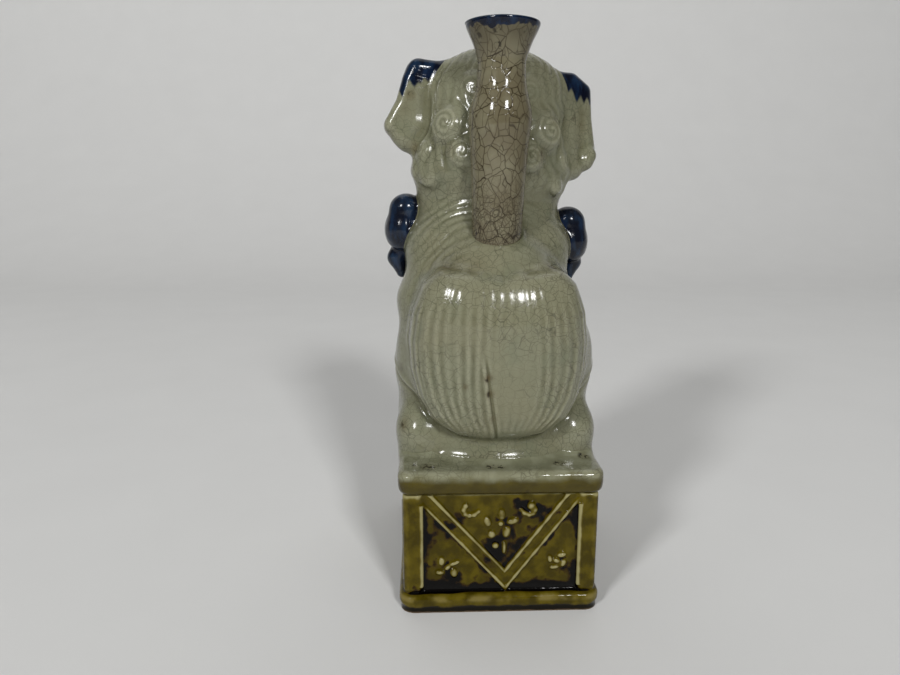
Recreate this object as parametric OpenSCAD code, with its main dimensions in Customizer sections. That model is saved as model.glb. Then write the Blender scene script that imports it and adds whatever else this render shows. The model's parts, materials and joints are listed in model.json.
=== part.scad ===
// Guardian lion joss-stick holder: a hollow glazed stoneware figure on a hollow plinth.
// The clay pieces are pressed or thrown one by one, then luted together before firing.
// The lion faces -Y and its left side is +X. Millimetres, with the origin under the plinth's middle.

/* [Plinth] */
// Width of the plinth, side to side
plinth_w = 72; // [70:0.5:76]
// Depth of the plinth, front to back
plinth_d = 96; // [94:0.5:100]
// Height of the plinth, floor to tabletop
plinth_h = 52; // [50:0.5:54]
// Thickness of the tabletop slab
slab_t = 8; // [7:0.5:9]
// Height of the foot frame
foot_h = 8; // [7:0.5:9]
// Thickness of the four walls
wall_t = 4.5; // [4:0.25:6]
// How far the panels lie back from the mouldings
panel_inset = 3.6; // [3:0.1:4.5]
// Width of each corner post
post_w = 7; // [6:0.25:8]

/* [Body] */
// Wall of the pressed body shell
shell_t = 5; // [4:0.5:6]
// Diameter of the pin hole that vents the body into the plinth
vent_d = 3; // [2:0.25:3.5]

/* [Joss-stick tube] */
// Height of the rim above the floor
tube_top = 202; // [200:0.5:204]
// Distance of the tube's axis behind the middle
tube_y = 24; // [23.5:0.25:24.5]
// Outer radius of the rim
rim_r = 12.5; // [12:0.1:13]
// Outer radius of the waist under the rim
waist_r = 8.3; // [8:0.1:8.8]
// Outer radius of the shoulder
shoulder_r = 10.4; // [10:0.1:10.8]
// Outer radius at the foot
foot_r = 8.6; // [8.3:0.1:9]
// Radius of the straight bore
bore_r = 5; // [4.5:0.1:5.4]

/* [Ball] */
// Radius of the ball under the right forepaw
ball_r = 9.5; // [9:0.25:10]

/* [Hidden] */

tube_foot = 126;
bore_floor = 134;
bore_mouth = 194;
wall_top = plinth_h - slab_t;
// Glaze colours.
celadon = [0.72, 0.73, 0.66];
cobalt = [0.10, 0.17, 0.42];
amber = [0.47, 0.35, 0.11];
cream = [0.82, 0.79, 0.66];
grey_brown = [0.66, 0.61, 0.55];
round_fn = 48;
clay_fn = 16;
small_fn = 10;
big = 300;
LEFT = 1;
RIGHT = -1;

// ---------- helpers ----------

// An egg-shaped lump of clay: centre p, half sizes r.
module egg(p, r, fn = clay_fn) {
    translate(p) scale(r) sphere(r = 1, $fn = fn);
}

// Lumps joined in a row, so that the clay runs smoothly from each to the next.
// Each lump is [centre, half sizes].
module clay(lumps, fn = clay_fn) {
    for (i = [0:len(lumps) - 2])
        hull() {
            egg(lumps[i][0], lumps[i][1], fn);
            egg(lumps[i + 1][0], lumps[i + 1][1], fn);
        }
}

// A rolled coil of clay through points [x, y, z, radius].
module coil(points, fn = 8) {
    clay([for (p = points) [[p[0], p[1], p[2]], [p[3], p[3], p[3]]]], fn);
}

// A curl of hair like a snail's shell, at p: three rounds of clay, each smaller and off centre.
// Its face is turned by yaw about Z and tipped up by pitch.
module curl(p, r, yaw, pitch, hand = 1) {
    translate(p) rotate([0, 0, yaw]) rotate([90 - pitch, 0, 180])
        for (k = [0:2])
            translate([hand * r * 0.12 * k, r * 0.1 * k, (k - 1) * r * 0.3])
                cylinder(r1 = r * (1 - 0.28 * k), r2 = r * (0.82 - 0.26 * k), h = r * 0.36, $fn = 12);
}

module upper(z) { translate([-big / 2, -big / 2, z]) cube(big); }
module side_half(s) { translate([s > 0 ? 0 : -big, -big / 2, -big / 2]) cube(big); }

// ---------- plinth ----------

// A slab with rounded edges, its underside at z.
module rounded_slab(w, d, z, h, r) {
    hull()
        for (x = [-1, 1], y = [-1, 1], k = [0, 1])
            translate([x * (w / 2 - r), y * (d / 2 - r), z + (k == 0 ? r : h - r)])
                sphere(r = r, $fn = 24);
}

module foot_ring_outline(w, d, r) {
    square([w - 2 * r, d], center = true);
    square([w, d - 2 * r], center = true);
    for (x = [-1, 1], y = [-1, 1])
        translate([x * (w / 2 - r), y * (d / 2 - r)]) circle(r = r, $fn = round_fn);
}

module plinth_foot_frame() {
    color(amber) difference() {
        linear_extrude(foot_h) foot_ring_outline(plinth_w, plinth_d, 3);
        translate([0, 0, -1]) linear_extrude(foot_h + 2)
            square([plinth_w - 2 * (panel_inset + wall_t), plinth_d - 2 * (panel_inset + wall_t)],
                   center = true);
    }
}

post_x = plinth_w / 2 - 1.6 - post_w;
post_y = plinth_d / 2 - 1.6 - post_w;

module end_wall(s) {
    y = s * (plinth_d / 2 - panel_inset - wall_t / 2);
    translate([0, y, (foot_h + wall_top) / 2])
        cube([2 * post_x, wall_t, wall_top - foot_h], center = true);
}

module side_wall(s) {
    x = s * (plinth_w / 2 - panel_inset - wall_t / 2);
    translate([x, 0, (foot_h + wall_top) / 2])
        cube([wall_t, 2 * post_y, wall_top - foot_h], center = true);
}

module plinth_back_wall() { color(amber) end_wall(1); }
module plinth_front_wall() { color(amber) end_wall(-1); }
module plinth_left_wall() { color(amber) side_wall(LEFT); }
module plinth_right_wall() { color(amber) side_wall(RIGHT); }

module plinth_corner_posts() {
    r = 2.2;
    color(amber) for (x = [-1, 1], y = [-1, 1])
        translate([x * (post_x + post_w / 2), y * (post_y + post_w / 2), foot_h])
            linear_extrude(wall_top - foot_h) foot_ring_outline(post_w, post_w, r);
}

module plinth_tabletop() {
    color(cream) difference() {
        rounded_slab(plinth_w, plinth_d, wall_top, slab_t, 3.2);
        translate([0, -2, wall_top - 1]) cylinder(d = vent_d, h = slab_t + 2, $fn = round_fn);
    }
}

// Drape: two raised bands that meet in a V on each side of the plinth.
band_w = 4.2;
band_t = 1.2;

module v_band(span, apex_z, top_z) {
    drop = top_z - apex_z;
    reach = band_w * sqrt(span * span / 4 + drop * drop) / drop;
    rotate([90, 0, 0]) linear_extrude(band_t, center = true)
        polygon([[-span / 2, top_z], [0, apex_z], [span / 2, top_z], [span / 2 - reach, top_z],
                 [0, apex_z + reach * 2 * drop / span], [-span / 2 + reach, top_z]]);
}

module drape_bands() {
    y = plinth_d / 2 - panel_inset + band_t / 2;
    x = plinth_w / 2 - panel_inset + band_t / 2;
    color(cream) {
        for (s = [-1, 1]) translate([0, s * y, 0]) v_band(2 * post_x - 0.4, foot_h + 1.2, wall_top - 0.4);
        for (s = [-1, 1]) translate([s * x, 0, 0]) rotate([0, 0, 90])
            v_band(2 * post_y - 0.4, foot_h + 1.2, wall_top - 0.4);
    }
}

// One flower: petals round a button, and small buds beside it. It lies in XZ and stands out along -Y.
sprig_t = 1.0;

module petal(r, a) {
    rotate([0, a, 0]) translate([0, 0, r]) rotate([90, 0, 0])
        linear_extrude(sprig_t) scale([0.62, 1]) circle(r = 1.7, $fn = 13);
}

module flower(r, petals) {
    for (i = [0:petals - 1]) petal(r, 360 * i / petals);
    rotate([90, 0, 0]) cylinder(r = 0.8, h = sprig_t, $fn = 16);
}

module side_flowers(span) {
    translate([0, 0, wall_top - 9]) flower(3.9, 5);
    for (s = [-1, 1]) {
        translate([s * 2.2, 0, wall_top - 18]) rotate([90, 0, 0]) cylinder(r = 1, h = sprig_t, $fn = 16);
        translate([s * span * 0.34, 0, foot_h + 8.5]) flower(2.9, 4);
    }
}

module flower_sprigs() {
    y = plinth_d / 2 - panel_inset;
    x = plinth_w / 2 - panel_inset;
    color(cream) for (k = [[0, y, 2 * post_x], [90, x, 2 * post_y],
                             [180, y, 2 * post_x], [270, x, 2 * post_y]])
        rotate([0, 0, k[0]]) translate([0, -k[1], 0]) side_flowers(k[2]);
}

// ---------- joss-stick tube ----------

tube_profile = [
    [0, tube_foot], [foot_r - 0.6, tube_foot], [foot_r, tube_foot + 4], [foot_r + 0.5, 148],
    [shoulder_r - 0.4, 163], [shoulder_r, 170], [shoulder_r, 174], [shoulder_r - 0.7, 178],
    [waist_r + 0.5, 184], [waist_r, 189], [waist_r + 0.5, 192.5], [rim_r - 1.9, 197],
    [rim_r - 0.3, 200], [rim_r, tube_top - 1], [rim_r - 0.8, tube_top],
    [rim_r - 2.4, tube_top - 0.6], [bore_r + 2.2, bore_mouth + 3.4], [bore_r, bore_mouth],
    [bore_r, bore_floor], [0, bore_floor]];

module tube_outside() {
    translate([0, tube_y, 0]) rotate_extrude($fn = 32)
        polygon(concat([for (i = [0:14]) tube_profile[i]], [[0, tube_top]]));
}

module joss_stick_tube() {
    color(grey_brown) translate([0, tube_y, 0]) rotate_extrude($fn = round_fn) polygon(tube_profile);
}

// ---------- torso ----------

// Rows of [centre, half sizes] from the rump up to the neck; shrink takes the shell's wall off.
function torso_rows(shrink) = [for (q = [
    [[0, 13, 58], [30.5, 27, 13]],
    [[0, 13, 70], [28, 27, 15]],
    [[0, 12, 86], [27.5, 26, 16]],
    [[0, 10, 98], [29.5, 25, 14]],
    [[0, 8, 108], [32.5, 25, 14]],
    [[0, 4, 119], [32.5, 25, 15]],
    [[0, 1, 129], [31, 24.5, 14]],
    [[0, -3, 138], [28, 21, 13]],
    [[0, -4, 147], [25.5, 19, 11]]]) [q[0], [for (v = q[1]) v - shrink]]];

chest_rows = [
    [[0, -3, 130], [25, 22, 15]],
    [[0, -10, 118], [24, 24, 14]],
    [[0, -11, 104], [21, 20, 14]],
    [[0, -6, 88], [19, 16, 14]]];

module torso_form(shrink = 0) {
    clay(torso_rows(shrink));
    clay([for (q = chest_rows) [q[0], [for (v = q[1]) v - shrink]]]);
}

// Combed hair: grooves that run round the back in arcs above the tail.
arc_z = 92;
groove_w = 0.9;
groove_depth = 1.1;

module back_grooves() {
    difference() {
        for (r = [37:5:52])
            translate([0, 60, arc_z]) rotate([90, 0, 0]) difference() {
                cylinder(r = r, h = 54, $fn = 36);
                translate([0, 0, -1]) cylinder(r = r - groove_w, h = 56, $fn = 36);
                translate([-big / 2, -big, -1]) cube([big, big, 56]);
            }
        torso_form(groove_depth);
    }
}

module torso_shell() {
    difference() {
        intersection() { torso_form(); upper(plinth_h); }
        intersection() { torso_form(shell_t); upper(plinth_h + shell_t * 0.6); }
        tube_outside();
        bell_form();
        back_grooves();
    }
}

module body_left_half() { color(celadon) intersection() { torso_shell(); side_half(LEFT); } }
module body_right_half() { color(celadon) intersection() { torso_shell(); side_half(RIGHT); } }

// ---------- hind legs ----------

module haunch_form(s) {
    clay([[[s * 24, 18, 98], [11, 13, 10]], [[s * 24.5, 15, 91], [12, 18, 15]],
          [[s * 24.5, 10, 83], [12, 20, 17]], [[s * 24.5, 3, 77], [12, 18, 15]],
          [[s * 25, -6, 72], [10.5, 12, 11]]]);
    clay([[[s * 26, -8, 69], [8, 9, 9]], [[s * 26.5, 2, 62], [8, 9, 9]],
          [[s * 27, 14, 59.5], [7.8, 9, 8]], [[s * 27, 25, 58.5], [7.5, 9, 7.5]]]);
}

module haunch(s) {
    difference() {
        intersection() { haunch_form(s); upper(plinth_h); }
        torso_form();
        tail_form();
    }
}

module left_haunch() { color(celadon) haunch(LEFT); }
module right_haunch() { color(celadon) haunch(RIGHT); }

// A paw: a pad with four toes side by side, toes towards -Y.
module paw_form(p, w, l, h) {
    translate(p) {
        for (k = [-1.5:1:1.5])
            hull() {
                egg([k * w * 0.2, 0, h * 0.45], [w * 0.2, l * 0.3, h * 0.55], small_fn);
                egg([k * w * 0.24, -l * 0.4, h * 0.32], [w * 0.17, l * 0.2, h * 0.38], small_fn);
            }
        for (k = [-1, 1])
            hull() {
                egg([0, l * 0.2, h * 0.5], [w * 0.36, l * 0.3, h * 0.5], small_fn);
                egg([k * w * 0.12, 0, h * 0.4], [w * 0.34, l * 0.3, h * 0.5], small_fn);
            }
    }
}

module hind_paw(s) {
    difference() {
        intersection() { paw_form([s * 25.5, -14, plinth_h], 19, 20, 12); upper(plinth_h); }
        haunch_form(s);
        torso_form();
        foreleg_form(s);
    }
}

module left_hind_paw() { color(celadon) hind_paw(LEFT); }
module right_hind_paw() { color(celadon) hind_paw(RIGHT); }

// ---------- forelegs ----------

fore_x = 16;
right_paw_z = plinth_h + 2 * ball_r - 3.5;

module foreleg_form(s) {
    if (s == LEFT)
        clay([[[fore_x + 4, -14, 122], [11, 13, 14]], [[fore_x + 3, -21, 108], [9.5, 11, 13]],
              [[fore_x + 1, -26, 94], [8.5, 9.5, 12]], [[fore_x, -29, 80], [7.6, 8.4, 11]],
              [[fore_x, -30, 66], [7.4, 8, 10]], [[fore_x, -31, 60], [7.6, 8.2, 7]]]);
    else
        clay([[[-fore_x - 4, -14, 122], [11, 13, 14]], [[-fore_x - 3, -21, 110], [9.5, 11, 12]],
              [[-fore_x - 1.5, -25, 100], [8.8, 9.6, 11]], [[-fore_x - 0.5, -28, 90], [8, 8.6, 9]],
              [[-fore_x, -31, 82], [7.4, 8, 7]], [[-fore_x, -32, 79], [7.2, 7.8, 6]]]);
    coil([[s * 26, -12, 116, 7], [s * 27, -14, 108, 5], [s * 26.5, -17, 101, 3.5], [s * 25, -19, 96, 2]]);
}

module foreleg(s) {
    difference() {
        intersection() { foreleg_form(s); upper(plinth_h); }
        torso_form();
        haunch_form(s);
    }
}

module left_foreleg() { color(celadon) foreleg(LEFT); }
module right_foreleg() { color(celadon) foreleg(RIGHT); }

module left_fore_paw() {
    color(celadon) difference() {
        intersection() { paw_form([fore_x, -35.5, plinth_h], 19.5, 20, 12); upper(plinth_h); }
        foreleg_form(LEFT);
        haunch_form(LEFT);
    }
}

module right_fore_paw() {
    color(celadon) difference() {
        translate([-fore_x, -35.5, right_paw_z]) rotate([8, 0, 0]) paw_form([0, 0, 0], 18.5, 18, 10);
        foreleg_form(RIGHT);
        translate([-fore_x, -36.5, plinth_h + ball_r - 0.6]) sphere(r = ball_r, $fn = 32);
    }
}

// ---------- shoulder tufts ----------

module shoulder_tuft(s) {
    difference() {
        union() {
            coil([[s * 28, -2, 145, 3], [s * 32, -5, 141, 5.5], [s * 34.2, -7, 135, 7],
                  [s * 33.5, -7, 128, 6], [s * 32.5, -5, 122, 4], [s * 31.5, -3, 116, 2]]);
            coil([[s * 33, -14, 128, 5], [s * 34.5, -13, 122, 5.5], [s * 34, -11, 116, 4.5],
                  [s * 32, -9, 110, 2.5]]);
        }
        torso_form();
        foreleg_form(s);
    }
}

module left_shoulder_tuft() { color(cobalt) shoulder_tuft(LEFT); }
module right_shoulder_tuft() { color(cobalt) shoulder_tuft(RIGHT); }

// ---------- tail ----------

tail_rows = [
    [[0, 15, 108], [25.5, 26.5, 14]],
    [[0, 15, 101], [29.5, 28.5, 17]],
    [[0, 15, 92], [31.5, 30, 19]],
    [[0, 15.5, 83], [30.5, 30.5, 16]],
    [[0, 17, 74], [26.5, 28.5, 12]]];

// Two lobes stand up beside the middle of the tail's top edge.
module tail_form(shrink = 0) {
    clay([for (q = tail_rows) [q[0], [for (v = q[1]) v - shrink]]]);
    for (s = [-1, 1])
        egg([s * 11, 20, 110], [12 - shrink, 17 - shrink, 11 - shrink]);
}

// Upright grooves part the hair of the tail.
module tail_grooves() {
    difference() {
        for (x = [-25.2:4.2:25.2])
            translate([x - groove_w / 2, 30 - abs(x) * 0.5, 66 + abs(x) * 0.25])
                cube([groove_w, 30, 48 - abs(x) * 0.45]);
        tail_form(groove_depth);
    }
}

module tail() {
    color(celadon) difference() {
        intersection() {
            tail_form();
            translate([-big / 2, 16, 0]) cube(big);
        }
        torso_form();
        tube_outside();
        tail_grooves();
    }
}

// ---------- head ----------

module skull_form() {
    clay([[[0, -6, 180], [22, 19, 19]], [[0, -12, 180], [23, 19, 18]],
          [[0, -20, 180], [20, 16, 14]]]);
    clay([[[0, -18, 174], [19, 15, 11]], [[0, -26, 174], [17, 13, 9]],
          [[0, -32, 172.5], [14.5, 12.5, 7]]]);
    for (s = [-1, 1])
        clay([[[s * 14, -14, 172], [10, 12, 11]], [[s * 15, -12, 163], [9, 11, 9]],
              [[s * 13, -10, 154], [8, 9, 8]]]);
}

// The hollow of the head opens downwards into the neck.
module head_hollow() {
    clay([[[0, -8, 181], [15, 12, 12]], [[0, -7, 170], [11, 9, 12]], [[0, -6, 156], [9, 8, 8]]], small_fn);
}

module head_shell() {
    color(celadon) difference() {
        skull_form();
        head_hollow();
        torso_form();
        tube_outside();
        for (s = [-1, 1]) eye_ball(s);
    }
}

module jaw_form() {
    clay([[[0, -12, 156], [14, 10, 6]], [[0, -20, 155], [14, 10, 5.5]],
          [[0, -27, 155.5], [12.5, 10, 5]], [[0, -31, 156.5], [10.5, 9, 4.5]]]);
}

module lower_jaw() {
    color(celadon) difference() {
        jaw_form();
        skull_form();
        torso_form();
    }
}

module tongue_form() {
    clay([[[0, -15, 161], [7, 6, 3]], [[0, -22, 161.5], [7, 6, 2.6]],
          [[0, -29, 161.5], [6.5, 6, 2.4]], [[0, -34, 160.5], [5, 4, 2]]], small_fn);
}

module tongue() {
    color(amber) difference() {
        tongue_form();
        jaw_form();
        skull_form();
        torso_form();
    }
}

module teeth_form() {
    for (s = [-1, 1]) {
        hull() {
            egg([s * 9, -39, 167], [1.9, 1.9, 2], 8);
            egg([s * 9, -39.5, 161.5], [0.5, 0.5, 0.6], 8);
        }
        hull() {
            egg([s * 8.4, -36, 159], [1.6, 1.6, 1.6], 8);
            egg([s * 8.4, -36.5, 163.5], [0.5, 0.5, 0.5], 8);
        }
    }
    for (x = [-4.8:3.2:4.8])
        hull() {
            egg([x, -41.2, 167], [1.4, 1.2, 1.6], 8);
            egg([x, -41.4, 163.8], [1.2, 0.9, 0.8], 8);
        }
}

module teeth() {
    color(cream) difference() {
        teeth_form();
        skull_form();
        jaw_form();
        tongue_form();
    }
}

module nose_form() {
    clay([[[-5, -40.5, 176], [3.6, 3.6, 3.2]], [[0, -41.5, 178], [4, 4, 3.6]],
          [[5, -40.5, 176], [3.6, 3.6, 3.2]]], small_fn);
    clay([[[0, -40, 179], [3.6, 3.6, 3.4]], [[0, -36, 182], [3.2, 3.4, 3.4]],
          [[0, -32, 185], [2.8, 3, 3]]], small_fn);
}

module nose() {
    color(cobalt) difference() {
        nose_form();
        skull_form();
        for (s = [-1, 1]) { eye_ball(s); brow_form(s); }
    }
}

module eye_ball(s) { translate([s * 9.8, -31.5, 183.5]) sphere(r = 5.2, $fn = 20); }
module left_eye() { color(cobalt) eye_ball(LEFT); }
module right_eye() { color(cobalt) eye_ball(RIGHT); }

module brow_form(s) {
    coil([[s * 4.2, -33.5, 187.5, 2.2], [s * 8, -31.5, 190.5, 2.8], [s * 12.5, -28, 191.2, 3],
          [s * 16.5, -24.5, 189.6, 2.9], [s * 19, -21.5, 186.5, 2.4], [s * 20.5, -19.5, 183, 1.6]]);
}

module eyebrows() {
    color(cobalt) for (s = [-1, 1])
        difference() {
            brow_form(s);
            skull_form();
            eye_ball(s);
        }
}

// ---------- ears ----------

// A drooping flap: tip_x and tip_z place the flared lower corner.
module ear_form(s, lift, flare) {
    clay([[[s * 19, -6, 191 + lift], [5, 8, 5]], [[s * 25, -5, 192 + lift], [4.5, 8.5, 4.5]],
          [[s * 31, -4, 189 + lift], [4, 9, 5]], [[s * 33.5, -3, 182 + lift], [3.2, 10, 5]],
          [[s * (34.5 + flare * 0.5), -2, 175 + lift], [2.8, 10.5, 5]],
          [[s * (36 + flare), -1, 169 + lift], [2.8, 10, 4]]], small_fn);
    clay([[[s * 22, 0, 184 + lift], [7, 6, 8]], [[s * 26, 1, 176 + lift], [7, 5, 8]],
          [[s * (29 + flare * 0.6), 2, 170 + lift], [8, 4, 5]]], small_fn);
}

module ear(s, lift, flare) {
    difference() {
        ear_form(s, lift, flare);
        skull_form();
        mane_form();
    }
}

module left_ear() { color(celadon) ear(LEFT, 0.5, 2.2); }
module right_ear() { color(celadon) ear(RIGHT, -4.5, 0.8); }

// ---------- mane ----------

module mane_form() {
    clay([[[0, -2, 187], [18, 12, 11]], [[0, 2, 180], [22, 13, 12]], [[0, 4, 170], [24, 14, 12]],
          [[0, 4, 160], [25.5, 15, 12]], [[0, 3, 151], [27, 16, 11]]]);
    for (s = [-1, 1])
        clay([[[s * 20, -6, 170], [8, 8, 9]], [[s * 22, -8, 160], [7.5, 9, 9]],
              [[s * 22, -9, 151], [7, 9, 8]]]);
}

module neck_mane() {
    color(celadon) difference() {
        mane_form();
        torso_form();
        skull_form();
        jaw_form();
        tube_outside();
    }
}

// The mane's outline in plan at a height: half width, half depth and centre.
function mane_a(z) = lookup(z, [[151, 27], [160, 25.5], [170, 24], [180, 22], [190, 16.5]]);
function mane_b(z) = lookup(z, [[151, 16], [160, 15], [170, 14], [180, 13], [190, 10.5]]);
function mane_y(z) = lookup(z, [[151, 3], [160, 4], [170, 4], [180, 2], [190, -2]]);

// Curls in rows round the back of the head: [angle from the back, height, size].
curl_places = [[27, 182.5, 4.6], [46, 169.5, 5.6], [27, 160, 4.9], [80, 160, 4.6], [62, 151, 4.2]];

module mane_curl_forms() {
    for (s = [-1, 1], c = curl_places)
        curl([s * (mane_a(c[1]) + 0.6) * sin(c[0]), mane_y(c[1]) + (mane_b(c[1]) + 0.6) * cos(c[0]), c[1]],
             c[2], -s * c[0] * 0.92, c[1] > 185 ? 30 : 6, s);
}

module mane_curls() {
    color(celadon) difference() {
        mane_curl_forms();
        mane_form();
        skull_form();
        torso_form();
        tube_outside();
        ear_form(LEFT, 0.5, 2.2);
        ear_form(RIGHT, -4.5, 0.8);
    }
}

// ---------- beard, collar, bell ----------

beard_places = [[5.1, -31.5, 147.5, 4.9], [14.6, -27.5, 148.5, 4.7], [22, -19.5, 148.5, 4.4]];

module beard_form() {
    for (s = [-1, 1], b = beard_places)
        curl([s * b[0], b[1], b[2]], b[3], 180 + s * b[0] * 2.2, -4, -s);
}

module beard_curls() {
    color(cobalt) difference() {
        beard_form();
        torso_form();
        jaw_form();
        mane_form();
        skull_form();
    }
}

// The collar lies round the front of the neck, under the beard.
collar_points = [for (a = [-66:12:66])
    [28 * sin(a), -3.5 - 26 * cos(a), 139 - 4.5 * cos(a), 2.6]];

module collar() {
    color(amber) difference() {
        coil(collar_points);
        torso_form();
        beard_form();
        mane_form();
        for (s = [-1, 1]) { foreleg_form(s); shoulder_tuft(s); }
        bell_form();
    }
}

bell_place = [0, -33.6, 126.2];

module bell_form() {
    translate(bell_place) sphere(r = 5.4, $fn = 32);
    translate(bell_place + [0, 0, 4.6]) cylinder(r = 1.8, h = 3.4, $fn = 24);
}

module bell() {
    color(amber) difference() {
        bell_form();
        translate(bell_place - [6, 8, 0.6]) cube([12, 6, 1.2]);
    }
}

// ---------- ball ----------

ball_place = [-fore_x, -36.5, plinth_h + ball_r - 0.6];

module ball() {
    color(cobalt) intersection() {
        translate(ball_place) sphere(r = ball_r, $fn = 48);
        upper(plinth_h);
    }
}

module ball_ribbon() {
    z = plinth_h + 1.4;
    color(amber) difference() {
        intersection() {
            coil([[-fore_x + 9, -38, z, 2], [-fore_x + 13, -40, z, 2.2], [-fore_x + 16, -43, z, 2],
                  [-fore_x + 19, -42, z, 1.8], [-fore_x + 18, -38, z, 1.7], [-fore_x + 14, -36, z, 1.7],
                  [-fore_x + 12, -32, z, 1.8], [-fore_x + 14, -28, z, 1.9], [-fore_x + 18, -27, z, 1.4]]);
            upper(plinth_h);
        }
        translate(ball_place) sphere(r = ball_r, $fn = 48);
        paw_form([fore_x, -35.5, plinth_h], 19.5, 20, 12);
    }
}

plinth_foot_frame();
plinth_back_wall();
plinth_front_wall();
plinth_left_wall();
plinth_right_wall();
plinth_corner_posts();
plinth_tabletop();
drape_bands();
flower_sprigs();
body_left_half();
body_right_half();
left_haunch();
right_haunch();
left_hind_paw();
right_hind_paw();
left_foreleg();
right_foreleg();
left_fore_paw();
right_fore_paw();
left_shoulder_tuft();
right_shoulder_tuft();
tail();
joss_stick_tube();
neck_mane();
mane_curls();
head_shell();
lower_jaw();
tongue();
teeth();
nose();
left_eye();
right_eye();
eyebrows();
left_ear();
right_ear();
beard_curls();
collar();
bell();
ball();
ball_ribbon();
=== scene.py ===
import json
import math

import bpy
import numpy as np
import openvdb
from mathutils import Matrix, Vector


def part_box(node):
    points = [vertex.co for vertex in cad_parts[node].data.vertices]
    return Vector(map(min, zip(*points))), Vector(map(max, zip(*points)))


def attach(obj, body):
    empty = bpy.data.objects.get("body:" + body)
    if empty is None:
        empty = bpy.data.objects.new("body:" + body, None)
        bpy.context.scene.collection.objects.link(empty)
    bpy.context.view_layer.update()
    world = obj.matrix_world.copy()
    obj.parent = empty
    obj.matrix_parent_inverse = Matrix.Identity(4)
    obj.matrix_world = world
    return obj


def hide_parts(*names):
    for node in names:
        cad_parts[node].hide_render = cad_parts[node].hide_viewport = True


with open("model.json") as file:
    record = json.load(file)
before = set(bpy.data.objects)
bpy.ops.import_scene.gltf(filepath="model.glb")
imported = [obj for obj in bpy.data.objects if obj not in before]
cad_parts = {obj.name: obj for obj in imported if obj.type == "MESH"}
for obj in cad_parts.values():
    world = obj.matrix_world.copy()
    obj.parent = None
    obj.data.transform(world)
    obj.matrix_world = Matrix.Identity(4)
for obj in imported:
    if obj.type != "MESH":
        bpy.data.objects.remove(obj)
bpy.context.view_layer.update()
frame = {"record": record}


# ---------------------------------------------------------------- tabletop
# The tabletop is a rolled slab with a rounded edge, laid on the plinth's walls. Its top takes the pale
# body glaze, which stops in a ragged line half-way down the edge, where the plinth's amber begins.
# The whole lion is worked up on it, so the bench that the clay is put together on comes first.
MM = 1000.0     # mm in a metre
FAR = 9.0       # mm, farther from the clay than any slip reaches
CRUMB = 30.0    # square mm
# The colour of thick pooled glaze, also used as painted shade in creases and hollows.
DEEP_POOL_AND_SHADE = (0.098, 0.097, 0.053, 1)
RUST = (0.075, 0.048, 0.014, 1)
INK = (0.008, 0.006, 0.004, 1)


def mm(node):
    low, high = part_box(node)
    return [v * MM for v in low], [v * MM for v in high]


def melt(a, b, soft):
    """Joins two forms, with slip filling the corner over a width of soft mm."""
    h = np.maximum(soft - np.abs(a - b), 0.0) / soft
    return np.minimum(a, b) - h * h * soft * 0.25


def ease(v, low, high):
    """0 below low, 1 above high, and smooth between."""
    t = np.clip((v - low) / (high - low), 0.0, 1.0)
    return t * t * (3.0 - 2.0 * t)


def rounded(a, b):
    """Where two faces meet: the distance to both, turning round the corner between them."""
    return np.sqrt(np.maximum(a, 0) ** 2 + np.maximum(b, 0) ** 2) + np.minimum(np.maximum(a, b), 0)


def tile(p, at, half, corner, edge):
    """A slab with its four corners rounded in plan, and its edges rounded less."""
    q = [np.abs(p[i] - at[i]) - (half[i] - corner) for i in range(2)]
    plan = rounded(q[0], q[1]) - corner
    return rounded(plan + edge, np.abs(p[2] - at[2]) - half[2] + edge) - edge


def lay(name, mesh):
    """Sets a finished piece in place of its CAD node."""
    piece = bpy.data.objects.new(name + ".glazed", mesh)
    bpy.context.scene.collection.objects.link(piece)
    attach(piece, "root")
    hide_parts(name)
    return piece


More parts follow.
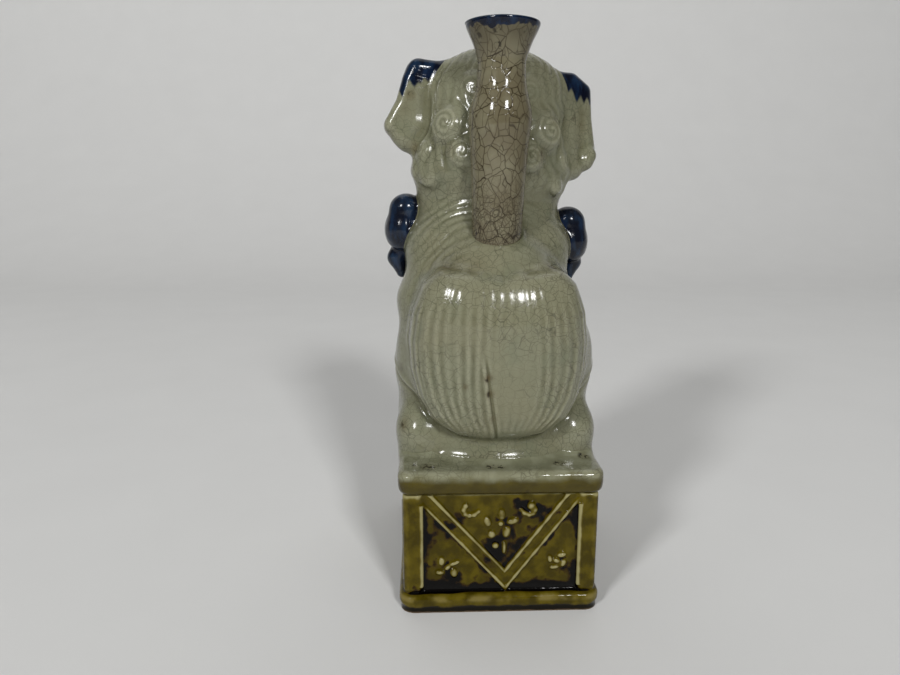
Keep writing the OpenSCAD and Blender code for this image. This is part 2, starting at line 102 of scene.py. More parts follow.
class Bench:
    """A block of space ruled into cells of one size, where pieces are put together."""

    def __init__(self, low, high, cell):
        self.low, self.cell = np.array(low, float), cell
        count = [int(math.ceil((h - l) / cell)) + 1 for l, h in zip(low, high)]
        self.axes = [(low[i] + cell * np.arange(count[i])).astype(np.float32) for i in range(3)]
        self.skin = np.full(count, FAR, np.float32)
        self.first, self.second = self.skin.copy(), self.skin.copy()
        self.owner = np.full(count, -1, np.int8)
        self.clays, self.pieces = [], []

    def reach(self, low, high):
        """The cells of a box, and their places."""
        cut = tuple(slice(*np.searchsorted(self.axes[i], (low[i], high[i]))) for i in range(3))
        x, y, z = (self.axes[i][cut[i]] for i in range(3))
        return cut, (x[:, None, None], y[None, :, None], z[None, None, :])

    def press(self, form, low, high, soft=2.5, relief=None):
        """Adds clay in the shape of form, which lies well inside the box low to high."""
        cut, p = self.reach(low, high)
        d = form(p).astype(np.float32)
        first = self.first[cut]
        nearer = d < first
        self.second[cut] = np.where(nearer, first, np.minimum(self.second[cut], d))
        self.first[cut] = np.where(nearer, d, first)
        self.owner[cut][nearer] = len(self.clays)
        self.skin[cut] = melt(self.skin[cut], d, soft)
        self.clays.append((form, cut, p, relief))
        return len(self.clays) - 1

    def lead(self, clay):
        """How much nearer than any other clay this one is, below 0 where it is the nearest."""
        form, cut, p, _ = self.clays[clay]
        rival = np.where(self.owner[cut] == clay, self.second[cut], self.first[cut])
        return form(p) - rival

    def piece(self, name, clay, finish, slot, side=None):
        """Names the clay that becomes one piece; side keeps one side of it."""
        self.pieces.append((name, clay, finish, slot, side))

    def finish(self, stains=()):
        """Tools the relief, then turns each piece into a mesh that covers its CAD node."""
        for clay, (form, cut, p, relief) in enumerate(self.clays):
            if relief:
                self.skin[cut] += relief(p) * np.clip(-self.lead(clay) / 1.5, 0.0, 1.0)
        fine, broad = self.blur(1.0), self.blur(3.2)
        for name, clay, finish, slot, side in self.pieces:
            form, cut, p, _ = self.clays[clay]
            lead = self.lead(clay)
            if side:
                lead = np.maximum(lead, side(p))
            d = np.maximum(self.skin[cut] + 0.15 * np.maximum(lead, 0.0), lead - 0.8)
            for i in range(3):
                for end in (0, -1):
                    d[tuple(end if j == i else slice(None) for j in range(3))] = 1.0
            grid = openvdb.FloatGrid(FAR)
            grid.copyFromArray(np.ascontiguousarray(d, dtype=np.float32))
            points, quads = self.swept(*grid.convertToQuads(isovalue=0.0))
            start = np.array([s.start for s in cut])
            places = (points + start) * self.cell + self.low
            mesh = bpy.data.meshes.new(name)
            mesh.from_pydata(places / MM, [], quads[:, ::-1].tolist())
            # These two fields measure fine creases and broad hollows. The glazes darken by them for pooled
            # glaze, and also as painted shade in the creases.
            for key, field in (("pool", fine), ("hollow", broad)):
                values = -self.sample(field, points + start)
                mesh.attributes.new(key, "FLOAT", "POINT").data.foreach_set("value", values)
            spots = sum((s[4] * np.exp(-((places - s[:3]) ** 2).sum(1) / s[3] ** 2) for s in stains),
                        np.zeros(len(places)))
            mesh.attributes.new("stain", "FLOAT", "POINT").data.foreach_set("value", spots)
            mesh.shade_smooth()
            mesh.materials.append(finish)
            lay(name, mesh)

    def swept(self, points, quads):
        """Sweeps away crumbs: islands smaller than CRUMB, left where clays meet."""
        island = np.arange(len(points))
        while True:
            low = np.repeat(island[quads].min(1), 4)
            joined = island.copy()
            np.minimum.at(joined, quads.ravel(), low)
            np.minimum.at(joined, island[quads].ravel(), low)
            joined = joined[joined]
            if (joined == island).all():
                break
            island = joined
        size = np.bincount(island[quads[:, 0]], minlength=len(points)) * self.cell ** 2
        quads = quads[size[island[quads[:, 0]]] > CRUMB]
        used, quads = np.unique(quads, return_inverse=True)
        return points[used], quads.reshape(-1, 4)

    def blur(self, reach):
        """The field averaged over reach mm each way, which tells hollows from ridges."""
        f, r = self.skin.astype(np.float32), max(1, round(reach / self.cell))
        for axis in range(3):
            wide = [(r + 1, r) if i == axis else (0, 0) for i in range(3)]
            run = np.cumsum(np.pad(f, wide, mode="edge"), axis=axis, dtype=np.float64)
            n = f.shape[axis]
            f = (np.take(run, range(2 * r + 1, 2 * r + 1 + n), axis) - np.take(run, range(n), axis))
            f = (f / (2 * r + 1)).astype(np.float32)
        return f

    def sample(self, field, at):
        """The field's value at places given in cells."""
        top = np.array(field.shape) - 1.001
        at = np.clip(at, 0, top)
        base = at.astype(int)
        part = at - base
        total = 0.0
        for corner in np.ndindex(2, 2, 2):
            share = np.prod(np.where(corner, part, 1 - part), axis=1)
            total = total + share * field[tuple((base + corner).T)]
        return total.astype(np.float32)


class Wire:
    """One socket of a glaze recipe; sums of wires add Math nodes."""

    def __init__(self, recipe, socket):
        self.recipe, self.socket = recipe, socket

    def math(self, kind, *values):
        return self.recipe.node("Math", {"operation": kind}, *values)

    def __add__(self, other): return self.math("ADD", self, other)
    def __radd__(self, other): return self.math("ADD", other, self)
    def __sub__(self, other): return self.math("SUBTRACT", self, other)
    def __rsub__(self, other): return self.math("SUBTRACT", other, self)
    def __mul__(self, other): return self.math("MULTIPLY", self, other)
    def __rmul__(self, other): return self.math("MULTIPLY", other, self)
    def __abs__(self): return self.math("ABSOLUTE", self)

    def clamp(self):
        return self.recipe.node("Clamp", {}, self)

    def ramp(self, low, high):
        """0 to 1 as the wire goes from low to high, eased."""
        settings = {"interpolation_type": "SMOOTHSTEP"}
        return self.recipe.node("MapRange", settings, self, low, high, 0.0, 1.0)


class Recipe:
    """A glaze recipe: a material and the nodes that make it."""

    def __init__(self, name):
        self.material = bpy.data.materials.new(name)
        self.material.use_nodes = True
        self.tree = self.material.node_tree
        self.shader = self.tree.nodes["Principled BSDF"]
        self.place = self.node("TexCoord", {}, out="Object")

    def node(self, kind, settings, *values, out=0, **named):
        """Adds a node: its settings first, then the values or wires of its sockets."""
        made = self.tree.nodes.new("ShaderNode" + kind)
        for key, value in settings.items():
            setattr(made, key, value)
        live = [s for s in made.inputs if s.enabled]
        pairs = list(zip(live, values))
        pairs += [(made.inputs[k.replace("_", " ")], v) for k, v in named.items()]
        for socket, value in pairs:
            self.feed(socket, value)
        live = [s for s in made.outputs if s.enabled]
        return Wire(self, made.outputs[out] if isinstance(out, str) else live[out])

    def feed(self, socket, value):
        if isinstance(value, Wire):
            self.tree.links.new(value.socket, socket)
        else:
            socket.default_value = value

    def mix(self, mask, a, b):
        """Colour a where the mask is 0 and b where it is 1."""
        return self.node("Mix", {"data_type": "RGBA"}, mask, a, b)

    def noise(self, size, detail, stretch=None):
        """Clouds about size mm across, from 0 to 1."""
        at = self.place
        if stretch:
            at = self.node("VectorMath", {"operation": "MULTIPLY"}, at, stretch)
        return self.node("TexNoise", {}, Vector=at, Scale=MM / size, Detail=detail, out="Fac")

    def trait(self, name):
        return self.node("Attribute", {"attribute_name": name}, out="Fac")

    def axis(self, name):
        """The place along one axis, in mm."""
        return self.node("SeparateXYZ", {}, self.place, out=name) * MM

    def crazing(self, cell, line, stretch=(1, 1, 1)):
        """A net of cracks, 1 on a crack: long ones first, then short ones that stop against them."""
        sway = self.node("TexNoise", {}, Vector=self.place, Scale=800.0 / cell, Detail=2.0, out="Color")
        sway = self.node("VectorMath", {"operation": "SUBTRACT"}, sway, (0.5, 0.5, 0.5))
        sway = self.node("VectorMath", {"operation": "SCALE"}, sway, Scale=0.5 * cell / MM)
        at = self.node("VectorMath", {"operation": "ADD"}, self.place, sway)
        at = self.node("VectorMath", {"operation": "MULTIPLY"}, at, stretch)
        long = self.node("TexVoronoi", {"feature": "DISTANCE_TO_EDGE"}, Vector=at, Scale=MM / cell,
                         out="Distance")
        plate = self.node("TexVoronoi", {"feature": "F1"}, Vector=at, Scale=MM / cell, out="Color")
        at = self.node("VectorMath", {"operation": "ADD"}, at, plate)
        short = self.node("TexVoronoi", {"feature": "DISTANCE_TO_EDGE"}, Vector=at,
                          Scale=MM / (cell * 0.62), out="Distance")
        net = 1.0 - long.ramp(line / cell * 0.3, line / cell)
        fine = (1.0 - short.ramp(line / cell * 0.3, line / cell * 1.3)) * 0.75
        return self.node("Math", {"operation": "MAXIMUM"}, net, fine)

    def specks(self, cell, size, share):
        """Specks up to size mm in a share of cells of the stated width."""
        near = self.node("TexVoronoi", {"feature": "F1"}, Vector=self.place, Scale=MM / cell,
                         out="Distance")
        pick = self.node("TexVoronoi", {"feature": "F1"}, Vector=self.place, Scale=MM / cell,
                         out="Color")
        luck = self.node("SeparateColor", {}, pick, out="Red")
        return (1.0 - near.ramp(size / cell * 0.4, size / cell)) * luck.ramp(1.0 - share, 1.0 - share * 0.6)

    def done(self, colour, rough=0.1, bump=None, gloss=0.36):
        """Fills in the shader and hands back the material."""
        self.feed(self.shader.inputs["Base Color"], colour)
        self.feed(self.shader.inputs["Roughness"], rough)
        self.feed(self.shader.inputs["Specular IOR Level"], gloss)
        if bump:
            relief, depth = bump
            lift = self.node("Bump", {}, Strength=1.0, Distance=depth / MM, Height=relief,
                             out="Normal")
            self.feed(self.shader.inputs["Normal"], lift)
        return self.material


slab_low, slab_high = mm("plinth_tabletop")
HALF_W, HALF_D, TOP = slab_high
lion = Bench((-46, -HALF_D - 2.5, slab_low[2] - 2), (46, HALF_D + 2.5, 204),
             0.5)


def tabletop(p):
    high = TOP + 1.2
    middle = (slab_low[2] + high) / 2
    draw = 0.7 * ease(TOP - 3.5 - p[2], 0.0, 5.0)
    return tile(p, (0, 0, middle), (HALF_W, HALF_D, high - middle), 4.5, 2.4) + draw


def amber_edge(g):
    z = g.axis("Z") + (g.noise(7.0, 3.0) - 0.5) * 4.0
    return 1.0 - z.ramp(TOP - 3.0, TOP + 0.5)


def amber_tone(g, pool, hollow):
    """Amber glaze: cream where it thins on ridges, olive-amber on flats, brown-black where it pools and in
    hollows, where the dark is also painted shade.
    """
    cloud = g.noise(5.0, 5.0)
    drift = g.noise(15.0, 3.0)
    # Pooled glaze and hollows darken it; in the hollows this is also painted shade.
    load = hollow * 1.7 + pool * 1.5 + (cloud - 0.5) * 2.2 + (drift - 0.5) * 3.8
    tone = g.mix(cloud.ramp(0.36, 0.66), (0.042, 0.031, 0.0006, 1), (0.084, 0.063, 0.002, 1))
    tone = g.mix(load.ramp(-0.02, 0.3), tone, (0.026, 0.013, 0.001, 1))
    tone = g.mix(load.ramp(0.16, 0.44), tone, (0.0014, 0.001, 0.0008, 1))
    thin = (pool * -1.0 - (drift - 0.5) * 0.25 + (cloud - 0.5) * 0.35)
    tone = g.mix(thin.ramp(0.06, 0.16) * 0.5, tone, (0.12, 0.092, 0.008, 1))
    return g.mix(thin.ramp(0.15, 0.34) * 0.9, tone, (0.3, 0.27, 0.125, 1))


g = Recipe("pale glaze over amber")
pool, hollow, stain = g.trait("pool"), g.trait("hollow"), g.trait("stain")
patch = g.noise(5.0, 4.0)
pale = g.mix(patch.ramp(0.35, 0.65), (0.22, 0.225, 0.15, 1), (0.165, 0.168, 0.105, 1))
# Darker in hollows, as where the lion meets the slab: pooled glaze, and painted shade between the parts.
pale = g.mix((hollow * 0.45).clamp(), pale, DEEP_POOL_AND_SHADE)
pale = g.mix((pool * -2.6).clamp() * 0.8, pale, (0.33, 0.31, 0.2, 1))
lines = g.crazing(3.8, 0.13) * g.noise(16.0, 2.0).ramp(0.38, 0.6)
pale = g.mix(lines * 0.5, pale, (0.06, 0.055, 0.034, 1))
pale = g.mix((stain * (0.1 + patch * 0.8)).clamp() * 0.6, pale, RUST)
pale = g.mix(((stain - 0.2) * g.noise(1.3, 3.0).ramp(0.49, 0.56) * 2.6).clamp(), pale, INK)
edge = amber_edge(g)
brim = g.mix(0.45, amber_tone(g, pool * 0.4, hollow * 0.2), (0.058, 0.047, 0.0015, 1))
low = 1.0 - (g.axis("Z") + (g.noise(8.0, 2.0) - 0.5) * 5.0).ramp(TOP - 4.6, TOP - 1.6)
brim = g.mix(low * 0.4, brim, (0.03, 0.021, 0.001, 1))
colour = g.mix(edge, pale, brim)
table_glaze = g.done(colour, 0.09, (g.noise(6.0, 2.0), 0.2))
clay = lion.press(tabletop, (-46, -HALF_D - 2, 42), (46, HALF_D + 2, 60), 2.0)
lion.piece("plinth_tabletop", clay, table_glaze, "cream_glaze", lambda p: slab_low[2] - p[2])


# ---------------------------------------------------------------- body
# The body is pressed in two half moulds, joined down the middle of the back. The back and flanks
# are combed with hair lines in arcs. Its crackle glaze is thin and pale on ridges, thick and deep in
# hollows, with iron specks that bled through from the clay. The darkening in creases and hollows is
# also painted shade.
THIN = (0.27, 0.268, 0.185, 1)
BODY = (0.185, 0.187, 0.122, 1)


def egg(p, at, size):
    """A lump of clay with three half sizes."""
    q = [(p[i] - at[i]) / size[i] for i in range(3)]
    k = np.sqrt(q[0] ** 2 + q[1] ** 2 + q[2] ** 2) + 1e-6
    g = np.sqrt((q[0] / size[0]) ** 2 + (q[1] / size[1]) ** 2 + (q[2] / size[2]) ** 2) + 1e-6 / max(size)
    return k * (k - 1.0) / g


def lumps(p, soft, *parts):
    """Several eggs pressed into one mass."""
    d = egg(p, *parts[0])
    for part in parts[1:]:
        d = melt(d, egg(p, *part), soft)
    return d


def celadon(name, thin=THIN, body=BODY, deep=DEEP_POOL_AND_SHADE, crack=0.6, edge=None):
    """Grey-green glaze; edge, if given, paints cobalt over it."""
    g = Recipe(name)
    pool, hollow, stain = g.trait("pool"), g.trait("hollow"), g.trait("stain")
    clouds = g.noise(26.0, 3.0)
    patch = g.noise(6.0, 4.0)
    # Darker in creases and hollows: pooled glaze, and painted shade of the creases between parts.
    depth = (pool * 5.0 + hollow * 0.5 + (patch - 0.5) * 1.2).clamp()
    ridge = (pool * -5.5 + hollow * -0.25 + (patch - 0.5) * 0.9).clamp()
    colour = g.mix(depth, body, deep)
    colour = g.mix(ridge * 0.85, colour, thin)
    colour = g.mix(clouds.ramp(0.4, 0.66) * 0.35, colour, (0.205, 0.19, 0.115, 1))
    colour = g.mix(g.noise(11.0, 4.0).ramp(0.5, 0.7) * 0.35, colour, (0.13, 0.145, 0.092, 1))
    where = g.noise(19.0, 2.0).ramp(0.34, 0.56)
    lines = g.crazing(3.6, 0.12) * (0.4 + where * 0.6) * crack
    colour = g.mix(lines.clamp(), colour, (0.05, 0.045, 0.028, 1))
    dirt = (hollow.ramp(0.5, 1.4) * patch.ramp(0.5, 0.68) * 0.55 + stain * (0.15 + patch * 1.0)).clamp()
    colour = g.mix(dirt * 0.8, colour, RUST)
    blots = (stain - 0.35) * g.noise(2.0, 3.0).ramp(0.5, 0.6) * 1.6
    colour = g.mix(blots.clamp() * 0.85, colour, (0.018, 0.012, 0.005, 1))
    colour = g.mix(g.specks(9.0, 0.35, 0.1), colour, INK)
    if edge:
        colour = g.mix(edge(g), colour, cobalt_tone(g, pool))
    ripple = g.noise(7.0, 2.0) * 0.5 + g.noise(1.6, 1.0) * 0.05
    return g.done(colour, 0.13, (ripple - lines * 0.1, 0.14))


def torso(p):
    d = lumps(p, 9.0,
              ((0.5, 11, 84), (29.5, 27, 24)), ((3.4, 8, 107), (33.4, 26, 20)),
              ((1.8, -1, 126), (32, 26, 19)), ((0, -10, 112), (23, 21.5, 19)),
              ((1.5, -3, 147), (27.5, 19, 16)))
    seat = egg(p, (0, 10, 56), (34.5, 27.5, 19))
    hump = egg(p, (0.5, 21, 112), (22, 17.2, 22))
    return melt(melt(d, seat, 10.0), hump, 5.0)


def combed(p):
    x, y, z = p
    r = np.sqrt((x - 1) ** 2 + (z - 106.0) ** 2) + 0.5 * np.sin(x * 0.3) + 0.3 * np.sin(z * 0.5)
    line = 0.12 * np.cos(2 * np.pi * r / 2.5) + 0.03 * np.cos(2 * np.pi * r / 1.25)
    field = ease(r, 17, 22) * (1 - ease(r, 38, 46)) * ease(y, -12, -2) * ease(z, 92, 101)
    field = field * (1 - 0.75 * ease(np.abs(x), 24, 30))
    bare = np.exp(-((x / 15.0) ** 2 + ((z - 126.0) / 10.0) ** 2))
    bare = bare + 0.85 * np.exp(-(((x + 16) / 14.0) ** 2))
    return line * field * (1 - 0.85 * np.clip(bare, 0, 1))


body_glaze = celadon("celadon on the body")
clay = lion.press(torso, (-45, -42, 44), (45, 46, 170), 6.0, combed)
lion.piece("body_left_half", clay, body_glaze, "celadon_glaze", lambda p: -p[0] + 0 * p[1] * p[2])
lion.piece("body_right_half", clay, body_glaze, "celadon_glaze", lambda p: p[0] + 0 * p[1] * p[2])


# ---------------------------------------------------------------- hind legs
# Each haunch is a pressed lump with the folded leg rolled below it, and the paw has four toes cut
# with a wooden tool. All of it is luted to the flank.
def roll(p, points):
    """A rolled coil of clay through points (x, y, z, radius)."""
    d = None
    for a, b in zip(points, points[1:]):
        run = [b[i] - a[i] for i in range(3)]
        span = sum(r * r for r in run) + 1e-9
        t = np.clip(sum((p[i] - a[i]) * run[i] for i in range(3)) / span, 0.0, 1.0)
        off = np.sqrt(sum((p[i] - a[i] - t * run[i]) ** 2 for i in range(3)))
        one = off - (a[3] + t * (b[3] - a[3]))
        d = one if d is None else melt(d, one, 0.6)
    return d


def toes(p, at, width, length, height, lift=0.0):
    x, y, z = p
    d = lumps(p, 4.0, ((at[0], at[1], at[2] + height * 0.45), (width * 0.48, length * 0.42, height * 0.55)))
    for k in (-1.5, -0.5, 0.5, 1.5):
        out = abs(k) * length * 0.035
        tip = (at[0] + k * width * 0.255, at[1] - length * 0.36 + out, at[2] + height * 0.3 + lift)
        back = (at[0] + k * width * 0.21, at[1] + length * 0.05, at[2] + height * 0.62)
        d = melt(d, roll(p, [(*back, width * 0.1), (*tip, width * 0.145)]), 0.8)
    return d


def haunch(side):
    def form(p):
        d = lumps(p, 6.0, ((side * 24, 12, 88), (13, 19, 18.5)), ((side * 24.8, 5, 77), (12.2, 20, 17)),
                  ((side * 24.5, -8, 71), (10, 11, 11)))
        leg = roll(p, [(side * 26, -9, 62, 8.4), (side * 27, 6, 61, 9.0), (side * 27, 20, 61, 8.6)])
        heel = egg(p, (side * 28.4, 23.4, 59.5), (6.2, 7.4, 7.2))
        return melt(melt(d, leg, 8.0), heel, 9.0)
    return form


def thigh_lines(side):
    def relief(p):
        x, y, z = p
        fold = z - (74 + 0.55 * (side * x - 26)) + 0.3 * (y - 20)
        line = 0.5 * np.exp(-(fold / 1.1) ** 2) - 0.35 * np.exp(-((fold - 2.0) / 1.3) ** 2)
        return line * ease(y, 0, 14)
    return relief


def beside(side, near, far, low, high):
    """The two corners of a box on one side of the middle, from near to far mm out."""
    return (min(side * near, side * far), *low), (max(side * near, side * far), *high)


for side, word in ((1, "left"), (-1, "right")):
    clay = lion.press(haunch(side), *beside(side, 2, 48, (-32, 44), (46, 118)), 6.0, thigh_lines(side))
    lion.piece(word + "_haunch", clay, body_glaze, "celadon_glaze")
    paw = lambda p, side=side: toes(p, (side * 25.5, -16, TOP - 1), 18, 22, 11)
    clay = lion.press(paw, *beside(side, 8, 44, (-36, 44), (4, 74)), 1.6)
    lion.piece(word + "_hind_paw", clay, body_glaze, "celadon_glaze")


# ---------------------------------------------------------------- tail
# The tail is a broad pressed leaf laid up over the rump, parted into two lobes at its top, fluted
# from top to bottom, with a firing crack down its middle that has browned.
def outline(a, b, corners):
    """Distance in a plane to an outline of corners, below 0 inside it."""
    d = np.full(np.broadcast(a, b).shape, 1e9, np.float32)
    sign = np.ones(d.shape, np.float32)
    for (ax, ay), (bx, by) in zip(corners, corners[1:] + corners[:1]):
        ex, ey = bx - ax, by - ay
        wx, wy = a - ax, b - ay
        t = np.clip((wx * ex + wy * ey) / (ex * ex + ey * ey), 0.0, 1.0)
        d = np.minimum(d, (wx - ex * t) ** 2 + (wy - ey * t) ** 2)
        above, below, side = wy >= 0, b < by, ex * wy > ey * wx
        sign = np.where((above & below & side) | (~above & ~below & ~side), -sign, sign)
    return sign * np.sqrt(d)


def flow(v, at, values, soft):
    """A curve through values at the places at, with its corners smoothed over soft mm."""
    fine = np.arange(at[0] - 4 * soft, at[-1] + 4 * soft, 0.25)
    weight = np.exp(-(np.arange(-3 * soft, 3 * soft, 0.25) / soft) ** 2)
    curve = np.convolve(np.interp(fine, at, values), weight / weight.sum(), "same")
    keep = slice(int(12 * soft), -int(12 * soft))
    return np.interp(v, fine[keep], curve[keep])


TAIL = [(0, 118.5), (6, 120.6), (13, 121.6), (19.5, 120), (25, 114.6), (28.6, 106), (30.2, 96), (29.6, 86),
        (27.0, 77), (22.4, 69.5), (14.5, 64.6), (6, 62.6)]
TAIL_OUTLINE = TAIL + [(-x, z) for x, z in reversed(TAIL[1:])]


def tail_width(z):
    return np.interp(z, [60, 65, 70, 77, 86, 96, 106, 115, 121], [14, 19, 24.6, 29, 31.4, 32, 30.6, 27, 23])


def tail(p):
    x, y, z = p
    back = flow(z, [58, 62, 66, 71, 78, 90, 103, 109, 113, 116, 119, 121.5, 124, 126.5, 131],
                [36, 40, 42.4, 44.2, 45.5, 46.2, 46, 45.3, 44.2, 43, 41, 38, 33.5, 28, 20], 1.6)
    back = 10 + (back - 10) * np.sqrt(np.clip(1 - np.abs(x / 37.5) ** 2.8, 0.05, 1))
    leaf = outline(x, z, TAIL_OUTLINE) - 2.2
    leaf = -melt(-leaf, -(y - back) * 0.88, 6.0)
    root = egg(p, (0.5, 25, 120), (9, 10, 9))
    return melt(np.maximum(leaf, 8 - y), root, 6.0)


def flutes(p):
    x, y, z = p
    u = x / tail_width(z)
    wave = 9.2 * u + 0.12 * np.sin(z * 0.13 + u * 5)
    flute = 0.2 * np.cos(2 * np.pi * wave) - 0.1 * np.abs(np.sin(np.pi * wave)) ** 3
    flute = flute * (0.8 + 0.35 * np.sin(x * 0.5 + z * 0.06) * np.sin(z * 0.11 + 1.0))
    worn = 1 - 0.92 * np.exp(-(((x + 4.5) / 9.0) ** 2 + ((z - 90) / 24) ** 2) ** 3)
    ends = ease(z, 63, 69) * (1 - 0.75 * ease(z, 106, 112) - 0.25 * ease(z, 114, 121))
    rim = 0.22 * np.cos(2 * np.pi * np.abs(u) * 19) * ease(np.abs(u), 0.84, 0.9)
    lines = flute * worn * ends * (1 - ease(np.abs(u), 0.84, 0.9)) + rim * ends
    seam = x - np.interp(z, [62, 66.6, 72, 81, 91.5, 97], [1.4, 1.9, 2.8, 4.2, 5.6, 6.0])
    gap = 0.55 * np.exp(-(seam / 0.45) ** 2) - 0.4 * np.exp(-((seam - 1.2) / 0.8) ** 2)
    crack = gap * ease(z, 61, 64) * (1 - ease(z, 88, 96))
    crown = 0.55 * np.exp(-((z - 119.6 - 0.1 * np.abs(x)) / 1.1) ** 2)
    crown = crown * ease(np.abs(x), 6, 10) * (1 - ease(np.abs(x), 20, 25))
    return np.where(y > 14, lines * 0.8 + crack + crown, 0.0)


clay = lion.press(tail, (-40, 0, 52), (40, 49.5, 134), 2.6, flutes)
lion.piece("tail", clay, body_glaze, "celadon_glaze")


# ---------------------------------------------------------------- forelegs
# Two rolled legs: the left stands straight on the plinth, the right is lifted onto the ball. Each
# has a comb of fur down its back edge and a paw with four toes.
ball_low, ball_high = mm("ball")
BALL = [(a + b) / 2 for a, b in zip(ball_low, ball_high)]
BALL_R = (ball_high[0] - ball_low[0]) / 2
BALL[2] = ball_high[2] - BALL_R


def foreleg(side):
    def form(p):
        if side > 0:
            path = [(19, -12, 122, 11), (18.5, -20, 108, 9.6), (17, -26, 94, 8.4), (16, -29, 80, 7.4),
                    (16, -30, 66, 7.2), (16, -31, 57, 7.8)]
        else:
            path = [(-19, -12, 122, 11), (-18.5, -20, 110, 9.6), (-17.3, -25, 99, 8.6),
                    (-16.5, -28, 89, 7.6), (-16, -31, 80, 7.2), (-16, -32, 77, 7.2)]
        return roll(p, path)
    return form


def fur(side):
    def relief(p):
        x, y, z = p
        wave = 0.3 * np.cos(2 * np.pi * (z + 0.5 * y) / 3.4)
        return wave * ease(y, -22, -14) * ease(side * x, 14, 20) * (1 - ease(z, 108, 114))
    return relief


for side, word, foot, size in ((1, "left", (16, -36, TOP - 1), (19, 21, 11.5)),
                               (-1, "right", (-16, -36, BALL[2] + BALL_R - 3.2), (17.5, 19, 9))):
    low, high = beside(side, 2, 42, (-49, 44), (8, 140))
    clay = lion.press(foreleg(side), low, high, 3.0, fur(side))
    lion.piece(word + "_foreleg", clay, body_glaze, "celadon_glaze")
    paw = lambda p, foot=foot, size=size: toes(p, foot, *size, lift=-0.6)
    clay = lion.press(paw, (low[0], -50, 44), (high[0], -16, 96), 1.4)
    lion.piece(word + "_fore_paw", clay, body_glaze, "celadon_glaze")


# ---------------------------------------------------------------- shoulder tufts
# Flame-shaped locks of hair at the shoulders, rolled, pinched to a point and brushed with cobalt,
# with a second, smaller lock below.
def curl(p, at, out, size, hand):
    """A snail curl: a low dome with a groove winding in to its middle."""
    n = np.array(out) / np.linalg.norm(out)
    u = np.cross((0, 0, 1), n)
    u /= np.linalg.norm(u)
    v = np.cross(n, u)
    off = [p[i] - at[i] for i in range(3)]
    a, b, c = (sum(off[i] * axis[i] for i in range(3)) for axis in (u, v, n))
    rho = np.sqrt(a * a + b * b)
    k = np.sqrt((rho / size) ** 2 + (c / (size * 0.5)) ** 2) + 1e-6
    dome = (k - 1.0) * size * 0.8
    wind = np.cos(2 * np.pi * rho / (size * 0.44) - hand * np.arctan2(b, a))
    return dome + 0.2 * wind * ease(rho, 0.2, 1.0) * (1 - ease(rho, size * 0.86, size))


def cobalt_tone(g, pool):
    """Cobalt blue: black-blue where thick, greyer and lighter where it runs thin."""
    run = g.noise(5.0, 3.0, stretch=(1.6, 1.6, 0.7))
    tone = g.mix(run.ramp(0.4, 0.7), (0.0004, 0.0018, 0.009, 1), (0.0025, 0.011, 0.036, 1))
    return g.mix((pool * -3.0 + (run - 0.5) * 1.2).clamp() * 0.6, tone, (0.02, 0.05, 0.09, 1))


def tuft(side):
    def form(p):
        if side > 0:
            top, ball_at, tail_at = (33, -4, 140.6), (34.2, -5, 132.8), (36.6, -8, 121.6)
        else:
            top, ball_at, tail_at = (-30, -4, 135.6), (-31, -5, 128.2), (-32.4, -8, 119.8)
        d = melt(egg(p, top, (6.6, 6.5, 6.0)), egg(p, ball_at, (7.0, 8, 8.2)), 3.0)
        swirl = curl(p, (ball_at[0] + side * 2.2, ball_at[1] + 2, ball_at[2]), (side, 0.75, 0.05), 7.0, side)
        d = melt(d, swirl, 1.5)
        flick = roll(p, [(tail_at[0] - side * 2.5, tail_at[1], tail_at[2] + 5, 4.4),
                         (*tail_at, 4.2),
                         (tail_at[0] - side * 1.5, tail_at[1] + 2, tail_at[2] - 5.5, 2.2)])
        front = roll(p, [(side * 30.5, -15, 133, 4.2), (side * 33.4, -15, 126, 4.6),
                         (side * 32.4, -13, 118.5, 2.2)])
        return melt(melt(d, flick, 1.6), front, 1.2)
    return form


def tuft_blue(g):
    z = g.axis("Z") + (g.noise(3.0, 2.0) - 0.5) * 5.0
    return z.ramp(110.0, 114.0) * 0.985


tuft_glaze = celadon("cobalt on the tufts", edge=tuft_blue)
for side, word in ((1, "left"), (-1, "right")):
    clay = lion.press(tuft(side), *beside(side, 18, 46, (-28, 100), (12, 158)), 1.3)
    lion.piece(word + "_shoulder_tuft", clay, tuft_glaze, "cobalt_glaze")


# ---------------------------------------------------------------- joss-stick tube
# A thrown tube, luted upright to the back behind the head, with a flared cup at its mouth that
# catches the ash. Its grey-brown glaze has the strongest crackle, and its rim is dipped in cobalt.
tube_low, tube_high = mm("joss_stick_tube")
TUBE_Y = (tube_low[1] + tube_high[1]) / 2
BORE = frame["record"]["mounts"][1]["dims"]["r_mm"]
OUTSIDE = [(8.2, 126), (8.5, 129), (8.8, 134), (9.1, 142), (9.5, 152), (10.2, 163), (10.85, 169.5),
           (10.85, 172.8), (10.35, 175.6), (9.55, 178.6), (8.6, 182.6), (8.1, 189.0), (8.8, 192.3),
           (9.9, 195.5), (11.2, 198.2), (12.1, 200.2), (12.4, 201.2)]
INSIDE = [(12.2, 201.8), (11.5, 202.0), (10.7, 201.7), (9.9, 200.6), (8.7, 198.6), (7.0, 196.6), (5.6, 195.2),
          (BORE, 193.6), (BORE, 180), (BORE, 164), (BORE, 148), (BORE, 134.6)]


def tube_wall(p):
    radius = np.interp(p[2], [z for _, z in OUTSIDE], [r for r, _ in OUTSIDE])
    wall = np.sqrt(p[0] ** 2 + (p[1] - TUBE_Y) ** 2) - radius
    return np.maximum(np.maximum(wall, 126 - p[2]), p[2] - 201)


lion.press(tube_wall, (-22, 2, 118), (22, 46, 204), 1.6)


